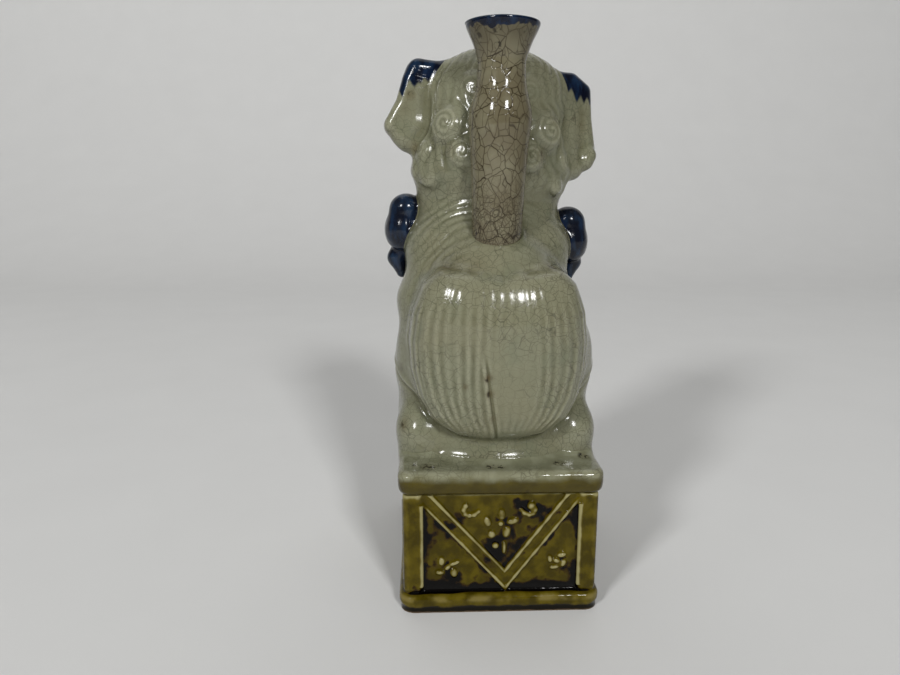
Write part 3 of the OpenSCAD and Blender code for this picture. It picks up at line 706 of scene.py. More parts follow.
def throw(profile, sections):
    """A smooth curve through a profile of (radius, height), as the wheel rounds it."""
    ring = []
    for i in range(len(profile) - 1):
        a, b, c, d = (np.array(profile[min(max(i + k, 0), len(profile) - 1)]) for k in (-1, 0, 1, 2))
        for t in np.arange(sections) / sections:
            ring.append(0.5 * (2 * b + (c - a) * t + (2 * a - 5 * b + 4 * c - d) * t * t
                               + (3 * b - a - 3 * c + d) * t ** 3))
    return np.array(ring + [profile[-1]])


def thrown_tube():
    turns, sections = 96, 6
    ring = throw(OUTSIDE + INSIDE, sections)
    angle = 2 * np.pi * np.arange(turns) / turns
    wobble = 1 + 0.006 * np.sin(2 * angle)[:, None] * np.sin(ring[:, 1] * 0.09)[None, :]
    outer = np.arange(len(ring)) < len(OUTSIDE) * sections
    lean = np.where(outer, 0.7 - 1.2 * (ring[:, 1] - 131) / 70, 0.0)
    r = ring[:, 0][None, :] * np.where(outer, wobble, 1.0)
    places = np.stack([r * np.cos(angle)[:, None] + lean, TUBE_Y + r * np.sin(angle)[:, None],
                       np.broadcast_to(ring[:, 1], r.shape)], -1)
    n = len(ring)
    strips = [(a * n, (a + 1) % turns * n) for a in range(turns)]
    faces = [(here + i, there + i, there + i + 1, here + i + 1)
             for here, there in strips for i in range(n - 1)]
    base, floor = turns * n, turns * n + 1
    points = np.vstack([places.reshape(-1, 3), (0, TUBE_Y, ring[0, 1]), (0, TUBE_Y, ring[-1, 1])])
    faces += [(base, there, here) for here, there in strips]
    faces += [(floor, here + n - 1, there + n - 1) for here, there in strips]
    mesh = bpy.data.meshes.new("joss_stick_tube")
    mesh.from_pydata(points / MM, [], faces)
    mesh.shade_smooth()
    return mesh


g = Recipe("grey-brown crackle on the tube")
z = g.axis("Z")
x, y = g.axis("X"), g.axis("Y") - TUBE_Y
cloud, patch = g.noise(14.0, 3.0), g.noise(4.0, 4.0)
colour = g.mix(cloud.ramp(0.38, 0.64), (0.165, 0.15, 0.095, 1), (0.125, 0.108, 0.064, 1))
colour = g.mix(patch.ramp(0.52, 0.72) * 0.45, colour, (0.2, 0.19, 0.12, 1))
crowd = 1.0 - z.ramp(132.0, 158.0)
lines = g.crazing(5.6, 0.13, stretch=(1, 1, 0.8))
close = g.crazing(3.0, 0.12, stretch=(1, 1, 0.9))
lines = g.node("Math", {"operation": "MAXIMUM"}, lines, close * crowd)
halo = g.crazing(5.6, 0.6, stretch=(1, 1, 0.8))
colour = g.mix(halo * 0.12, colour, (0.07, 0.045, 0.02, 1))
colour = g.mix((lines * (0.75 + patch * 0.4)).clamp(), colour, (0.022, 0.015, 0.006, 1))
# Painted shade on the flared cup, darker towards its mouth.
cup_shade = z.ramp(190.0, 198.0)
colour = g.mix(cup_shade * 0.45, colour, (0.065, 0.055, 0.03, 1))
grime = (z.ramp(191.0, 196.0) * patch.ramp(0.54, 0.62) * g.noise(2.2, 3.0).ramp(0.5, 0.6)).clamp()
colour = g.mix(grime * 0.85, colour, (0.02, 0.014, 0.006, 1))
for at, high, wide in ((2.4, 198.0, 1.9), (2.0, 193.4, 1.5)):
    spot = (x - at) * (x - at) + (z - high) * (z - high)
    blot = (1.0 - spot.ramp(wide * 0.4, wide * wide)) * g.noise(1.3, 3.0).ramp(0.5, 0.57) * y.ramp(2.0, 5.0)
    colour = g.mix(blot.clamp() * 0.85, colour, (0.016, 0.012, 0.005, 1))
rim = (z + (g.noise(3.4, 2.0) - 0.5) * 7.0).ramp(198.9, 199.7)
colour = g.mix(rim, colour, cobalt_tone(g, cloud * 0.0))
colour = g.mix(z.ramp(201.3, 201.9) * 0.5, colour, (0.05, 0.075, 0.1, 1))
colour = g.mix(g.specks(7.0, 0.5, 0.14), colour, INK)
# Painted shade inside the bore, darker the deeper it goes.
bore_shade = 1.0 - z.ramp(150.0, 196.0)
inside = 1.0 - (x * x + y * y).ramp(28.0, 40.0)
colour = g.mix(inside * bore_shade * 0.8, colour, (0.012, 0.01, 0.008, 1))
tube_glaze = g.done(colour, 0.08, (g.noise(8.0, 2.0) - lines * 0.15, 0.12))
mesh = thrown_tube()
mesh.materials.append(tube_glaze)
lay("joss_stick_tube", mesh)


# ---------------------------------------------------------------- head
# The head is pressed hollow and set on the neck a few degrees out of upright. Its mouth is cut open
# and the lips, cheeks and brow are built up on it by hand.
ROLL = math.radians(4.0)
PIVOT = (0, 0, 165)


def tilted(p):
    """The head's own upright frame."""
    x, z = p[0] - PIVOT[0], p[2] - PIVOT[2]
    return (x * math.cos(ROLL) + z * math.sin(ROLL) + PIVOT[0], p[1] + 0 * x,
            -x * math.sin(ROLL) + z * math.cos(ROLL) + PIVOT[2])


def carve(a, b, soft):
    """Takes form b out of form a, and rounds the edge that is left."""
    return -melt(-a, b, soft)


def head(p):
    p = tilted(p)
    d = lumps(p, 7.0, ((0, -6, 181), (20.5, 18, 17.5)), ((0, -14, 181), (20, 16, 15)),
              ((0, -26, 173), (15.5, 13, 9)), ((0, -20, 168), (17, 14, 9)))
    for side in (-1, 1):
        cheek = egg(p, (side * 15, -13, 166), (8.5, 11, 11))
        lip = egg(p, (side * 6.6, -34.5, 170.5), (7.6, 7, 5.6))
        brow = egg(p, (side * 9.5, -25.5, 189), (8, 6, 4.6))
        d = melt(melt(melt(d, cheek, 4.0), lip, 2.0), brow, 3.0)
        socket = egg(p, (side * 9.6, -31.5, 183.2), (5.6, 4.4, 4.4))
        d = carve(d, socket, 1.5)
    mouth = egg(p, (0, -31, 163.2), (12.5, 13, 4.3))
    return carve(d, mouth, 1.2)


clay = lion.press(head, (-40, -50, 140), (40, 24, 203), 2.4)
lion.piece("head_shell", clay, body_glaze, "celadon_glaze")


# ---------------------------------------------------------------- lower jaw, tongue and teeth
# The jaw is a lump hollowed with the thumb and luted under the mouth. A pinched tongue lies in it, and
# the fangs, tusks and front teeth are rolled one by one: tongue amber, teeth pale.
def jaw(p):
    p = tilted(p)
    d = lumps(p, 4.0, ((0, -18, 155.5), (13.5, 13, 5.8)), ((0, -27.5, 156), (11.5, 11.5, 4.6)))
    return carve(d, egg(p, (0, -27, 161.5), (9.8, 12, 3.2)), 1.2)


clay = lion.press(jaw, (-24, -48, 140), (24, 4, 172), 1.6)
lion.piece("lower_jaw", clay, body_glaze, "celadon_glaze")


def tongue(p):
    p = tilted(p)
    d = lumps(p, 3.0, ((0, -20, 160), (6.6, 9, 2.6)), ((0, -29, 160.6), (6, 7.5, 2.1)))
    return d + 0.35 * np.exp(-(p[0] / 0.7) ** 2) * ease(-p[1], 14, 20)


def amber(name):
    g = Recipe(name)
    colour = amber_tone(g, g.trait("pool"), g.trait("hollow"))
    return g.done(colour, 0.1, (g.noise(4.0, 2.0), 0.16))


dress_glaze = amber("amber on the dress")
clay = lion.press(tongue, (-14, -44, 150), (14, -6, 170), 0.6)
lion.piece("tongue", clay, dress_glaze, "amber_glaze")


def teeth(p):
    p = tilted(p)
    d = None
    for side in (-1, 1):
        fang = roll(p, [(side * 8.6, -37.2, 167.5, 1.9), (side * 8.9, -38.2, 162.2, 0.55)])
        tusk = roll(p, [(side * 7.4, -35.2, 157.6, 1.6), (side * 7.7, -36.4, 162.4, 0.5)])
        d = np.minimum(fang, tusk) if d is None else np.minimum(d, np.minimum(fang, tusk))
    for x in (-5.2, -1.75, 1.75, 5.2):
        bow = abs(x) * 0.25
        d = np.minimum(d, roll(p, [(x, -40.6 + bow, 166.8, 1.6), (x, -41 + bow, 164.4, 1.25)]))
    return d


teeth_glaze = celadon("pale glaze on the teeth", (0.45, 0.43, 0.33, 1), (0.36, 0.34, 0.25, 1),
                      (0.16, 0.13, 0.07, 1), 0.2)
clay = lion.press(teeth, (-14, -47, 152), (14, -28, 174), 0.5)
lion.piece("teeth", clay, teeth_glaze, "cream_glaze")


# ---------------------------------------------------------------- nose, eyes and brows
# A nose of three lumps with pierced nostrils, two balls of clay pressed into the sockets, and brows
# rolled as curling flames. Nose and brows are cobalt; the eyes are pale with a black spot.
def nose(p):
    p = tilted(p)
    d = lumps(p, 2.5, ((0, -40, 178), (5.2, 4.2, 3.8)), ((-4.6, -39, 176.6), (3.4, 3.6, 2.9)),
              ((4.6, -39, 176.6), (3.4, 3.6, 2.9)), ((0, -35.5, 182), (3.2, 5, 3.6)))
    for side in (-1, 1):
        d = carve(d, egg(p, (side * 3.1, -43, 175.6), (1.5, 2.2, 1.2)), 0.6)
    return d


def cobalt(name):
    g = Recipe(name)
    colour = cobalt_tone(g, g.trait("pool"))
    return g.done(colour, 0.08, (g.noise(4.0, 2.0), 0.16))


blue_glaze = cobalt("cobalt blue")
clay = lion.press(nose, (-14, -49, 166), (14, -24, 194), 1.2)
lion.piece("nose", clay, blue_glaze, "cobalt_glaze")


def eye(side):
    return lambda p: egg(tilted(p), (side * 9.6, -30.6, 183.4), (4.7, 4.7, 4.7))


g = Recipe("eye glaze")
x, z = g.axis("X"), g.axis("Z")
across = abs(x * math.cos(ROLL) + (z - PIVOT[2]) * math.sin(ROLL))
up = x * (-math.sin(ROLL)) + (z - PIVOT[2]) * math.cos(ROLL) + PIVOT[2]
off = (across - 9.4) * (across - 9.4) + (up - 183.2) * (up - 183.2)
colour = g.mix(g.noise(3.0, 2.0), (0.38, 0.37, 0.28, 1), (0.28, 0.28, 0.2, 1))
colour = g.mix(1.0 - off.ramp(4.6, 6.2), colour, INK)
eye_glaze = g.done(colour, 0.07, (g.noise(3.0, 1.0), 0.06))
for side, word in ((1, "left"), (-1, "right")):
    clay = lion.press(eye(side), *beside(side, 1, 20, (-40, 174), (-20, 193)), 0.5)
    lion.piece(word + "_eye", clay, eye_glaze, "cobalt_glaze")


def brows(p):
    p = tilted(p)
    d = None
    for s in (-1, 1):
        one = roll(p, [(s * 3.8, -34, 186.5, 1.7), (s * 6.5, -33, 189.8, 2.5), (s * 11, -30.5, 191, 2.9),
                       (s * 15.5, -26.5, 190, 2.7), (s * 18.4, -22.5, 187.5, 2.1),
                       (s * 20, -19.5, 190.5, 1.3)])
        d = one if d is None else np.minimum(d, one)
    return d + 0.22 * np.cos(2 * np.pi * (p[2] + np.abs(p[0]) * 0.35) / 1.9)


clay = lion.press(brows, (-26, -42, 178), (26, -12, 199), 1.0)
lion.piece("eyebrows", clay, blue_glaze, "cobalt_glaze")


# ---------------------------------------------------------------- mane
# The mane is a cap of combed clay over the back of the head and neck. Snail curls are pressed one by
# one and set on it in rows, and pointed locks hang below them.
def mane(p):
    q = tilted(p)
    d = lumps(q, 8.0, ((-1, -3, 184), (25, 14.5, 15.5)), ((0, 1, 176), (23, 14, 13)),
              ((0, 3, 165), (25, 15, 13)), ((1, 2, 153), (27.5, 16.5, 12)))
    for side in (-1, 1):
        d = melt(d, egg(q, (side * 20, -7, 166), (7, 9, 16)), 4.0)
    for side in (-1, 1):
        lock = roll(p, [(side * 26, 0, 161, 3.2), (side * 26.6, 1, 155, 2.6), (side * 25, 1, 149, 0.8)])
        d = melt(d, lock, 7.0)
    return d


def locks(p):
    x, y, z = p
    turn = np.arctan2(x, y + 14) * 26 + 1.3 * np.sin(z * 0.3) + 0.5 * np.sin(z * 0.61 + x * 0.2)
    return 0.11 * np.cos(2 * np.pi * turn / 3.6) * ease(y, -14, -6)


clay = lion.press(mane, (-42, -34, 134), (42, 32, 204), 3.4, locks)
lion.piece("neck_mane", clay, body_glaze, "celadon_glaze")

mane_out = {182.5: (21, 12.5, 0.5), 169.5: (25, 15.2, 2), 160: (26, 16.2, 2.5), 151: (26.3, 15.3, 2)}
CURLS = [(27, 182.5, 4.8), (46, 169.5, 5.9), (27, 160, 5.0), (80, 160, 3.7), (62, 151, 3.1)]


def air(p):
    """A field with no clay in it yet."""
    return np.full(np.broadcast(*p).shape, FAR, np.float32)


def mane_curls(p):
    d = air(p)
    q = tilted(p)
    for side in (-1, 1):
        for turn, z, size in CURLS:
            a, b, y = mane_out[z]
            t = math.radians(turn)
            at = (side * a * math.sin(t), y + b * math.cos(t), z)
            out = (side * math.sin(t) / a, math.cos(t) / b, 0.012)
            d = np.minimum(d, curl(q, at, out, size, side))
    return d


clay = lion.press(mane_curls, (-36, -14, 138), (36, 30, 201), 2.6)
lion.piece("mane_curls", clay, body_glaze, "celadon_glaze")


# ---------------------------------------------------------------- ears
# Two drooping flaps, pinched out of slabs and luted to the sides of the head. They widen to a flared
# lower corner and are hollowed underneath; cobalt was brushed on their tops and ran.
def ear(side, corners, crest, swing):
    def form(p):
        x, y, z = side * p[0], p[1], p[2]
        flat = outline(x, z, corners) + 0 * y
        deep = np.abs(y + 4.5 - swing * (x - 24)) - 1.8
        d = rounded(flat, deep) - 3.6
        top, (tip, low), (heel, rise), under, inner = corners[2][1], *corners[5:9]
        fold = roll((x, y, z), [(crest, -4, top - 1, 3.6), (crest + 1, -2.5, low, 5.2),
                                (crest + 3.5, -2.5, low - 5, 4.6)])
        hem = roll((x, y, z), [(tip - 0.4, -4, low - 0.3, 3.9 if side > 0 else 3.5), (heel, -3.5, rise, 3.8),
                               (under[0], -4, under[1], 3.4), (inner[0], -5, inner[1], 3.0)])
        d = melt(melt(d, fold, 3.0), hem, 1.6)
        scoop = egg((x, y, z), (30, -12, low - 2), (6.0, 6.0, 9))
        return carve(d, scoop, 2.5)
    return form


LEFT_EAR = [(12, 184), (17, 190.6), (27.6, 191.6), (30.2, 187.4), (33.0, 179), (37.2, 171.6), (34.6, 168.8),
            (30.4, 166), (26, 163.6), (15, 166)]
RIGHT_EAR = [(12, 180), (18.5, 185.8), (29.5, 187.2), (34.0, 184.0), (34.8, 174), (37.0, 161.0),
             (35.2, 159.0), (28, 157.2), (22.5, 155.4), (14, 161)]


def ear_blue(start, high, fall):
    def mask(g):
        x, z = g.axis("X"), g.axis("Z")
        out = abs(x)
        drip = g.node("TexNoise", {"noise_dimensions": "1D"}, W=x * 0.4, Scale=1.0, Detail=0.0, out="Fac")
        reach = high - (out - start) * fall - (drip - 0.5) * 6.0 + (g.noise(2.5, 2.0) - 0.5) * 1.2
        return (z - reach).ramp(-0.6, 1.0) * out.ramp(start - 2.5, start + 0.5)
    return mask


for side, word, corners, crest, swing, start, high, fall in (
        (1, "left", LEFT_EAR, 28.6, 0.1, 18, 189.6, 0.36),
        (-1, "right", RIGHT_EAR, 26.5, -0.3, 20.5, 185.6, 0.34)):
    clay = lion.press(ear(side, corners, crest, swing), *beside(side, 6, 46, (-32, 144), (16, 203)), 3.4)
    ear_glaze = celadon("celadon on the %s ear" % word, edge=ear_blue(start, high, fall))
    lion.piece(word + "_ear", clay, ear_glaze, "celadon_glaze")


# ---------------------------------------------------------------- beard
# A row of snail curls pressed on under the chin, six in all, and brushed with cobalt.
# They are luted to the neck behind.
def beard(p):
    d = air(p)
    for side in (-1, 1):
        for x, y, z, size in ((5.2, -30.5, 148.5, 5.0), (14.2, -26.5, 149, 4.9), (21.6, -19, 149, 4.6)):
            d = np.minimum(d, curl(p, (side * x, y, z), (side * x * 0.9, -26, -3), size, -side))
    return d


clay = lion.press(beard, (-34, -44, 136), (34, -6, 162), 1.2)
lion.piece("beard_curls", clay, blue_glaze, "cobalt_glaze")


# ---------------------------------------------------------------- collar and bell
# A coil twisted like a rope, laid round the front of the neck, with a round bell pinched and slit and
# hung on it by a stub of clay, both under amber.
def collar(p):
    path = [(27.5 * math.sin(a), -4 - 25.5 * math.cos(a), 139 - 4.6 * math.cos(a), 2.5)
            for a in np.radians(np.arange(-72, 73, 12))]
    d = roll(p, path)
    twist = np.arctan2(p[0], -(p[1] + 4)) * 27.5
    return d + 0.22 * np.cos(2 * np.pi * (twist + p[2] * 0.9) / 3.0)


clay = lion.press(collar, (-36, -42, 126), (36, 6, 148), 0.8)
lion.piece("collar", clay, dress_glaze, "amber_glaze")


def block(p, at, half, edge):
    """A block of clay with its edges rounded."""
    q = [np.abs(p[i] - at[i]) - (half[i] - edge) for i in range(3)]
    out = np.sqrt(sum(np.maximum(v, 0.0) ** 2 for v in q))
    return out + np.minimum(np.maximum(np.maximum(q[0], q[1]), q[2]), 0.0) - edge


def bell(p):
    d = egg(p, (0, -33.2, 126.4), (5.5, 5.2, 5.5))
    band = np.abs(p[2] - 126.6) - 0.5
    d = d - 0.45 * np.exp(-(band / 0.5) ** 2)
    slot = block(p, (0, -38, 123.6), (0.55, 4, 2.6), 0.3)
    return carve(melt(d, roll(p, [(0, -33.6, 130, 2.0), (0, -32.6, 133.6, 1.7)]), 0.8), slot, 0.4)


clay = lion.press(bell, (-10, -42, 117), (10, -22, 138), 0.6)
lion.piece("bell", clay, dress_glaze, "amber_glaze")


# ---------------------------------------------------------------- ball and ribbon
# The brocade ball is rolled, scored into panels and set under the right paw, with the ribbon that
# ties it laid in a loop on the tabletop.
def ball(p):
    x, y, z = (p[i] - BALL[i] for i in range(3))
    d = np.sqrt(x * x + y * y + z * z) - BALL_R + 0.2
    rays = np.abs(np.sin(3 * np.arctan2(x + 0 * z, z + 0 * x))) * np.sqrt(x * x + z * z)
    rings = np.abs(np.sin(np.pi * (y / BALL_R * 1.5 + 0.5))) * 3.0
    return d + 0.5 * np.exp(-(rays / 0.7) ** 2) + 0.4 * np.exp(-(rings / 0.6) ** 2)


clay = lion.press(ball, (BALL[0] - 15, BALL[1] - 13.4, 44), (BALL[0] + 15, BALL[1] + 15, 84), 0.7)
lion.piece("ball", clay, blue_glaze, "cobalt_glaze")


def ribbon(p):
    z = TOP + 1.0
    return roll(p, [(-7, -38, z + 1, 1.5), (-3, -41, z, 1.7), (1, -43.2, z, 1.6), (3.6, -41.6, z, 1.5),
                    (2.2, -38, z, 1.5), (-2, -36.2, z, 1.5), (-4.5, -33, z, 1.6), (-2.5, -28.6, z, 1.6),
                    (2, -27.4, z, 1.2)])


clay = lion.press(ribbon, (-12, -48, 44), (10, -20, 62), 0.8)
lion.piece("ball_ribbon", clay, dress_glaze, "amber_glaze")


# ---------------------------------------------------------------- firing
# The lion is luted together and fired. Brown stains, each (x, y, z, radius, strength), sit where the glaze
# crawled or the clay opened.
STAINS = [(4.2, 46, 80.5, 1.3, 1.7), (5.0, 46, 86, 1.3, 1.7), (2.8, 45, 71, 1.3, 0.9),
          (12.5, 45, 83, 1.0, 0.8), (12, 44, 78, 1.0, 0.5), (18, 31, 121, 5.0, 0.6),
          (8, 33, 121, 4.0, 0.7), (-18, 31, 121.5, 3.0, 0.9), (29.5, 31, 75, 2.4, 0.9),
          (26.5, 35, 71.5, 2.4, 0.9), (23.4, 37, 68, 2.0, 0.8), (34.5, 28, 64, 2.4, 0.9),
          (35, 22, 84, 2.0, 0.7), (25.5, 42, 53.6, 2.6, 1.0), (30, 40, 53.6, 1.6, 0.6),
          (3.4, 42.6, 53.5, 1.6, 1.2), (0.2, 42.8, 53.5, 1.3, 1.1), (-21, 40, 53.6, 2.2, 0.9),
          (-31, 34, 53.6, 2.2, 0.8), (11.5, 15, 188, 2.0, 1.0), (19, 18, 162, 3.2, 0.7),
          (21, 17, 155, 3.0, 0.8), (18, 18, 151, 2.4, 0.7), (-22, 13, 173, 2.2, 0.9),
          (-16.6, 17, 160, 3.2, 0.8), (30, 4, 163, 2.4, 1.0), (31, 2, 182, 2.0, 0.8),
          (32.5, 1, 177, 2.4, 0.5), (-33, -4, 176, 2.6, 0.9), (-33, -4, 171, 2.2, 0.8),
          (-33, -4, 182, 1.8, 0.5), (35, -4, 120, 2.6, 0.3)]
lion.finish(STAINS)
del lion


# ---------------------------------------------------------------- plinth
# The plinth is built of four press-moulded walls between corner posts, on a foot frame. Each wall
# bears a drape of two bands that meet low in the middle, with flowers between, all under amber
# glaze that runs off the ridges and pools brown-black in the ground; the darkening in the hollows
# is also painted shade.
_, foot_high = mm("plinth_foot_frame")
wall_low, wall_high = mm("plinth_back_wall")
_, post_high = mm("plinth_corner_posts")
side_low, side_high = mm("plinth_left_wall")
END, SIDE = wall_high[1], side_high[0]
WALL_TOP, WALL_FOOT = wall_high[2], wall_low[2]
INNER = (side_low[0], wall_low[1])
everywhere = (-HALF_W - 2, -HALF_D - 2, -2), (HALF_W + 2, HALF_D + 2, WALL_TOP + 3)
stand = Bench(*everywhere, 0.36)


def foot(p):
    rim = foot_high[2]
    bead = tile(p, (0, 0, rim - 3.6), (foot_high[0], foot_high[1], 2.5), 5.5, 2.2)
    base = tile(p, (0, 0, 2.6), (foot_high[0] - 0.6, foot_high[1] - 0.6, 4.0), 5.0, 1.2)
    ledge = tile(p, (0, 0, 4.6), (SIDE, END, 3.9), 2.0, 0.5)
    d = melt(melt(bead, base, 1.0), ledge, 1.2)
    hole = np.maximum(np.abs(p[0]) - INNER[0], np.abs(p[1]) - INNER[1])
    return np.maximum(np.maximum(d, -hole), -p[2])


def faces(p):
    """Each wall's own flat frame: along it, up it, out of it, and half its length."""
    x, y, z = p
    end, side = wall_high[0], side_high[1]
    return ((-x, z, y - END, end), (x, z, -y - END, end), (y, z, x - SIDE, side), (-y, z, -x - SIDE, side))


def wall(number):
    def form(p):
        s, z, out, span = faces(p)[number]
        thick = 4.5
        d = np.maximum(np.maximum(out, -thick - out), np.abs(s) - span)
        return np.maximum(np.maximum(d, z - WALL_TOP), WALL_FOOT - 1.4 - z) + 0 * p[0] * p[1]
    return form


def posts(p):
    d = air(p)
    middle, half = (WALL_TOP + WALL_FOOT) / 2, (WALL_TOP - WALL_FOOT) / 2
    wide = (post_high[0] - wall_high[0]) / 2
    for sx in (-1, 1):
        for sy in (-1, 1):
            at = (sx * (post_high[0] - wide), sy * (post_high[1] - wide), middle)
            d = np.minimum(d, block(p, at, (wide, wide, half + 1.5), 2.2))
    for s, z, out, span in faces(p):
        line = np.sqrt((np.abs(s) - span - 0.6) ** 2 + (out - 1.6) ** 2) - 0.8
        d = melt(d, np.maximum(line, np.abs(z - middle + 1) - half + 2.5), 0.8)
    return np.maximum(np.maximum(d, p[2] - WALL_TOP - 0.3), WALL_FOOT - 2.2 - p[2])


def bands(p):
    d = air(p)
    low, rise = WALL_FOOT + 3.3, 29.8
    for s, z, out, span in faces(p):
        wide = span / wall_high[0]
        off = s - 1.8 * wide
        run = np.where(off < 0, 26.9, 22.4) * wide
        across = ((z - low) * run - np.abs(off) * rise) / np.sqrt(run ** 2 + rise ** 2)
        flat = np.maximum(np.abs(across) - 2.1, out - 0.35)
        uneven = 0.08 * np.sin(s * 0.9 + z * 0.7)
        ridge = np.sqrt((np.abs(across) - 2.05) ** 2 + (out - 0.5) ** 2) - 0.58 - uneven
        one = np.maximum(melt(flat, ridge, 0.6), -1.2 - out)
        one = np.maximum(one, np.abs(s) - span - 0.6)
        d = np.minimum(d, np.maximum(np.maximum(one, z - WALL_TOP + 0.2), WALL_FOOT - 0.6 - z))
    return d


# Flowers as (along, up from the wall's foot, half length, half width, lean in degrees).
PETALS = [(0.4, 28.2, 1.7, 1.05, 0), (-4.6, 25.6, 1.6, 1.0, 20), (4.3, 25.7, 1.0, 1.6, 15),
          (2.2, 21.6, 1.8, 1.0, -12), (-3.1, 20.8, 1.2, 1.1, 0), (0.1, 24.8, 0.8, 0.7, 0),
          (-1.7, 16.4, 0.95, 0.95, 0), (1.4, 15.6, 2.0, 0.6, 0)]
BUDS = [(-20.8, 10.6, 1.4, 0.9, 0), (-16.3, 9.8, 0.6, 1.6, 20), (-18.6, 8.3, 0.7, 1.1, 40),
        (-21.4, 6.4, 0.8, 1.3, 0), (-16.4, 6.2, 1.5, 1.0, 8), (22.0, 12.4, 0.8, 1.3, 10),
        (17.9, 10.9, 1.2, 0.7, 15), (20.2, 10.2, 0.8, 1.2, -20), (22.6, 9.2, 1.3, 0.8, -30),
        (19.6, 7.9, 0.8, 1.5, 10)]


def sprigs(p):
    d = air(p)
    for s, z, out, span in faces(p):
        up = z - WALL_FOOT
        stretch = span / wall_high[0]
        for at, high, tall, wide, lean in PETALS + BUDS:
            middle = at if abs(at) < 10 else at * stretch
            c, k = math.cos(math.radians(lean)), math.sin(math.radians(lean))
            a, b = (s - middle) * c + (up - high) * k, -(s - middle) * k + (up - high) * c
            d = np.minimum(d, egg((a, out, b), (0, 0.1, 0), (wide * 1.25, 1.0, tall * 1.15)))
        for leaf in ([(-12.4, 0.1, 31.6, 1.0), (-13.0, 0.1, 30.2, 0.85), (-12.4, 0.1, 28.8, 0.8),
                      (-11.0, 0.1, 28.1, 0.8), (-9.4, 0.1, 28.3, 0.75), (-7.8, 0.1, 29.4, 0.5)],
                     [(10.8, 0.1, 31.4, 1.5), (11.8, 0.1, 30.0, 1.1), (11.4, 0.1, 28.7, 0.85),
                      (10.0, 0.1, 28.1, 0.75), (8.4, 0.1, 28.7, 0.65), (7.2, 0.1, 30.0, 0.45)]):
            d = np.minimum(d, roll((s + 0 * z, out + 0 * z, up + 0 * s), leaf))
    return d


g = Recipe("amber on the plinth")
pool, hollow = g.trait("pool"), g.trait("hollow")
z = g.axis("Z")
colour = amber_tone(g, pool, hollow)
crest = (z.ramp(3.8, 5.4) * (1.0 - z.ramp(5.8, 6.9))) * g.noise(9.0, 4.0).ramp(0.4, 0.6)
colour = g.mix(crest * 0.65, colour, (0.2, 0.16, 0.05, 1))
burnt = 1.0 - (z + (g.noise(6.0, 3.0) - 0.5) * 3.0).ramp(2.2, 3.2)
colour = g.mix(burnt * 0.95, colour, (0.002, 0.0015, 0.001, 1))
biscuit = 1.0 - (z + (g.noise(3.0, 3.0) - 0.5) * 0.8).ramp(0.35, 0.7)
clay_tone = g.mix(g.noise(1.2, 4.0), (0.07, 0.045, 0.024, 1), (0.13, 0.085, 0.045, 1))
x, y = g.axis("X"), g.axis("Y")
inside_x = 1.0 - abs(x).ramp(INNER[0] + 0.6, INNER[0] + 1.0)
inside_y = 1.0 - abs(y).ramp(INNER[1] + 0.6, INNER[1] + 1.0)
bare = g.node("Math", {"operation": "MAXIMUM"}, biscuit, inside_x * inside_y)
colour = g.mix(bare, colour, clay_tone)
grain = g.noise(4.0, 2.0) + g.noise(0.8, 3.0) * bare * 0.3
stand_glaze = g.done(colour, 0.1 + bare * 0.65, (grain, 0.2), gloss=0.18)

clay = stand.press(foot, everywhere[0], (HALF_W + 2, HALF_D + 2, 16), 1.4)
stand.piece("plinth_foot_frame", clay, stand_glaze, "amber_glaze")
for number, word in enumerate(("back", "front", "left", "right")):
    clay = stand.press(wall(number), *everywhere, 1.0)
    stand.piece("plinth_%s_wall" % word, clay, stand_glaze, "amber_glaze")
for name, form, slot in (("plinth_corner_posts", posts, "amber_glaze"), ("drape_bands", bands, "cream_glaze"),
                         ("flower_sprigs", sprigs, "cream_glaze")):
    clay = stand.press(form, *everywhere, 0.9)
    stand.piece(name, clay, stand_glaze, slot)
stand.finish()
del stand


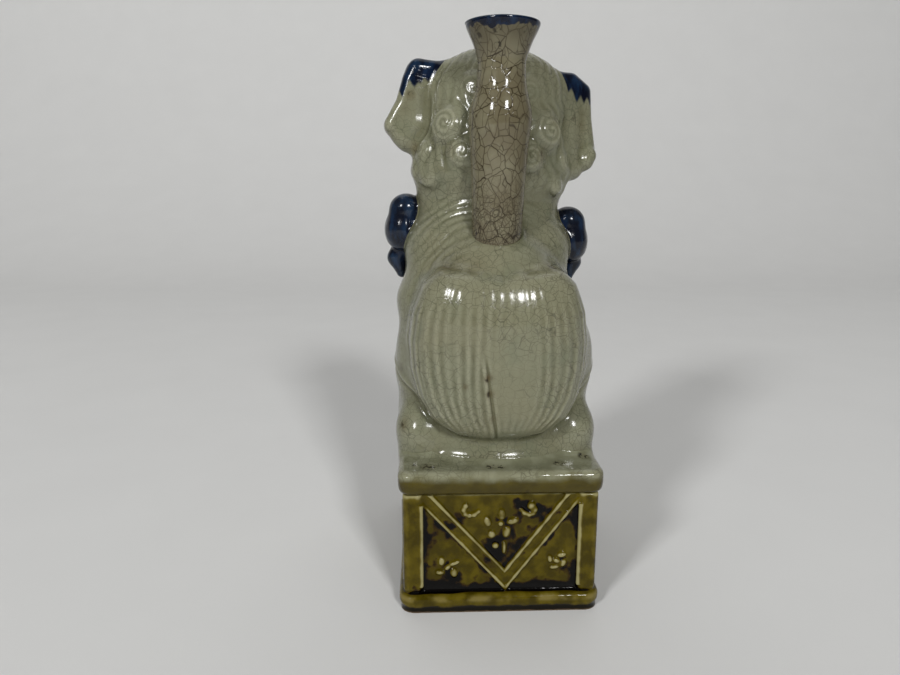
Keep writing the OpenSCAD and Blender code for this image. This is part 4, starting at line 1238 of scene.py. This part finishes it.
# ---------------------------------------------------------------- floor, light and camera
# A pale sweep, soft windows to either side of the camera, and the camera low behind the lion.
g = Recipe("pale paper")
tone = g.mix(g.noise(60.0, 3.0), (0.7, 0.7, 0.69, 1), (0.735, 0.735, 0.725, 1))
paper = g.done(tone, 0.75, (g.noise(0.9, 2.0), 0.03))
steps = [(2.6, 0.0), (-0.8, 0.0)] + [(-0.8 - 0.8 * math.sin(a), 0.8 - 0.8 * math.cos(a))
                                     for a in np.radians(np.arange(7.5, 91, 7.5))] + [(-1.6, 2.6)]
points = [(x, y, z) for y, z in steps for x in (-3.2, 3.2)]
mesh = bpy.data.meshes.new("sweep")
mesh.from_pydata(points, [], [(2 * i, 2 * i + 1, 2 * i + 3, 2 * i + 2) for i in range(len(steps) - 1)])
mesh.shade_smooth()
mesh.materials.append(paper)
sweep = bpy.data.objects.new("sweep", mesh)
bpy.context.scene.collection.objects.link(sweep)


CHEST = (0.0, 0.0, 0.11)


def window(name, at, size, power):
    """A soft lamp as big as size in metres, turned to the lion's chest."""
    lamp = bpy.data.lights.new(name, "AREA")
    lamp.shape, lamp.size, lamp.size_y, lamp.energy = "RECTANGLE", *size, power
    place = bpy.data.objects.new(name, lamp)
    place.location = at
    way = np.array(CHEST) - np.array(at)
    tip = math.atan2(math.hypot(way[0], way[1]), -way[2])
    place.rotation_euler = (tip, 0, math.atan2(way[0], -way[1]) + math.pi)
    bpy.context.scene.collection.objects.link(place)


window("window left", (1.88, 2.4, 1.8), (0.5, 0.62), 56.0)
window("window right", (-0.95, 2.95, 1.85), (0.5, 0.62), 62.0)
window("overhead", (0.0, -0.6, 2.1), (1.8, 1.4), 5.0)

world = bpy.data.worlds.new("room")
world.use_nodes = True
world.node_tree.nodes["Background"].inputs["Color"].default_value = (1.0, 0.99, 0.96, 1)
world.node_tree.nodes["Background"].inputs["Strength"].default_value = 0.11
scene = bpy.context.scene
scene.world = world
scene.view_settings.view_transform = "Standard"

camera = bpy.data.cameras.new("camera")
camera.sensor_width, camera.lens = 36.0, 27.85
camera.clip_start = 0.01
eye_point = bpy.data.objects.new("camera", camera)
eye_point.location = (0.0257, 0.2705, 0.1473)
eye_point.rotation_euler = (math.radians(78.15), 0, math.radians(178.0))
scene.collection.objects.link(eye_point)
scene.camera = eye_point
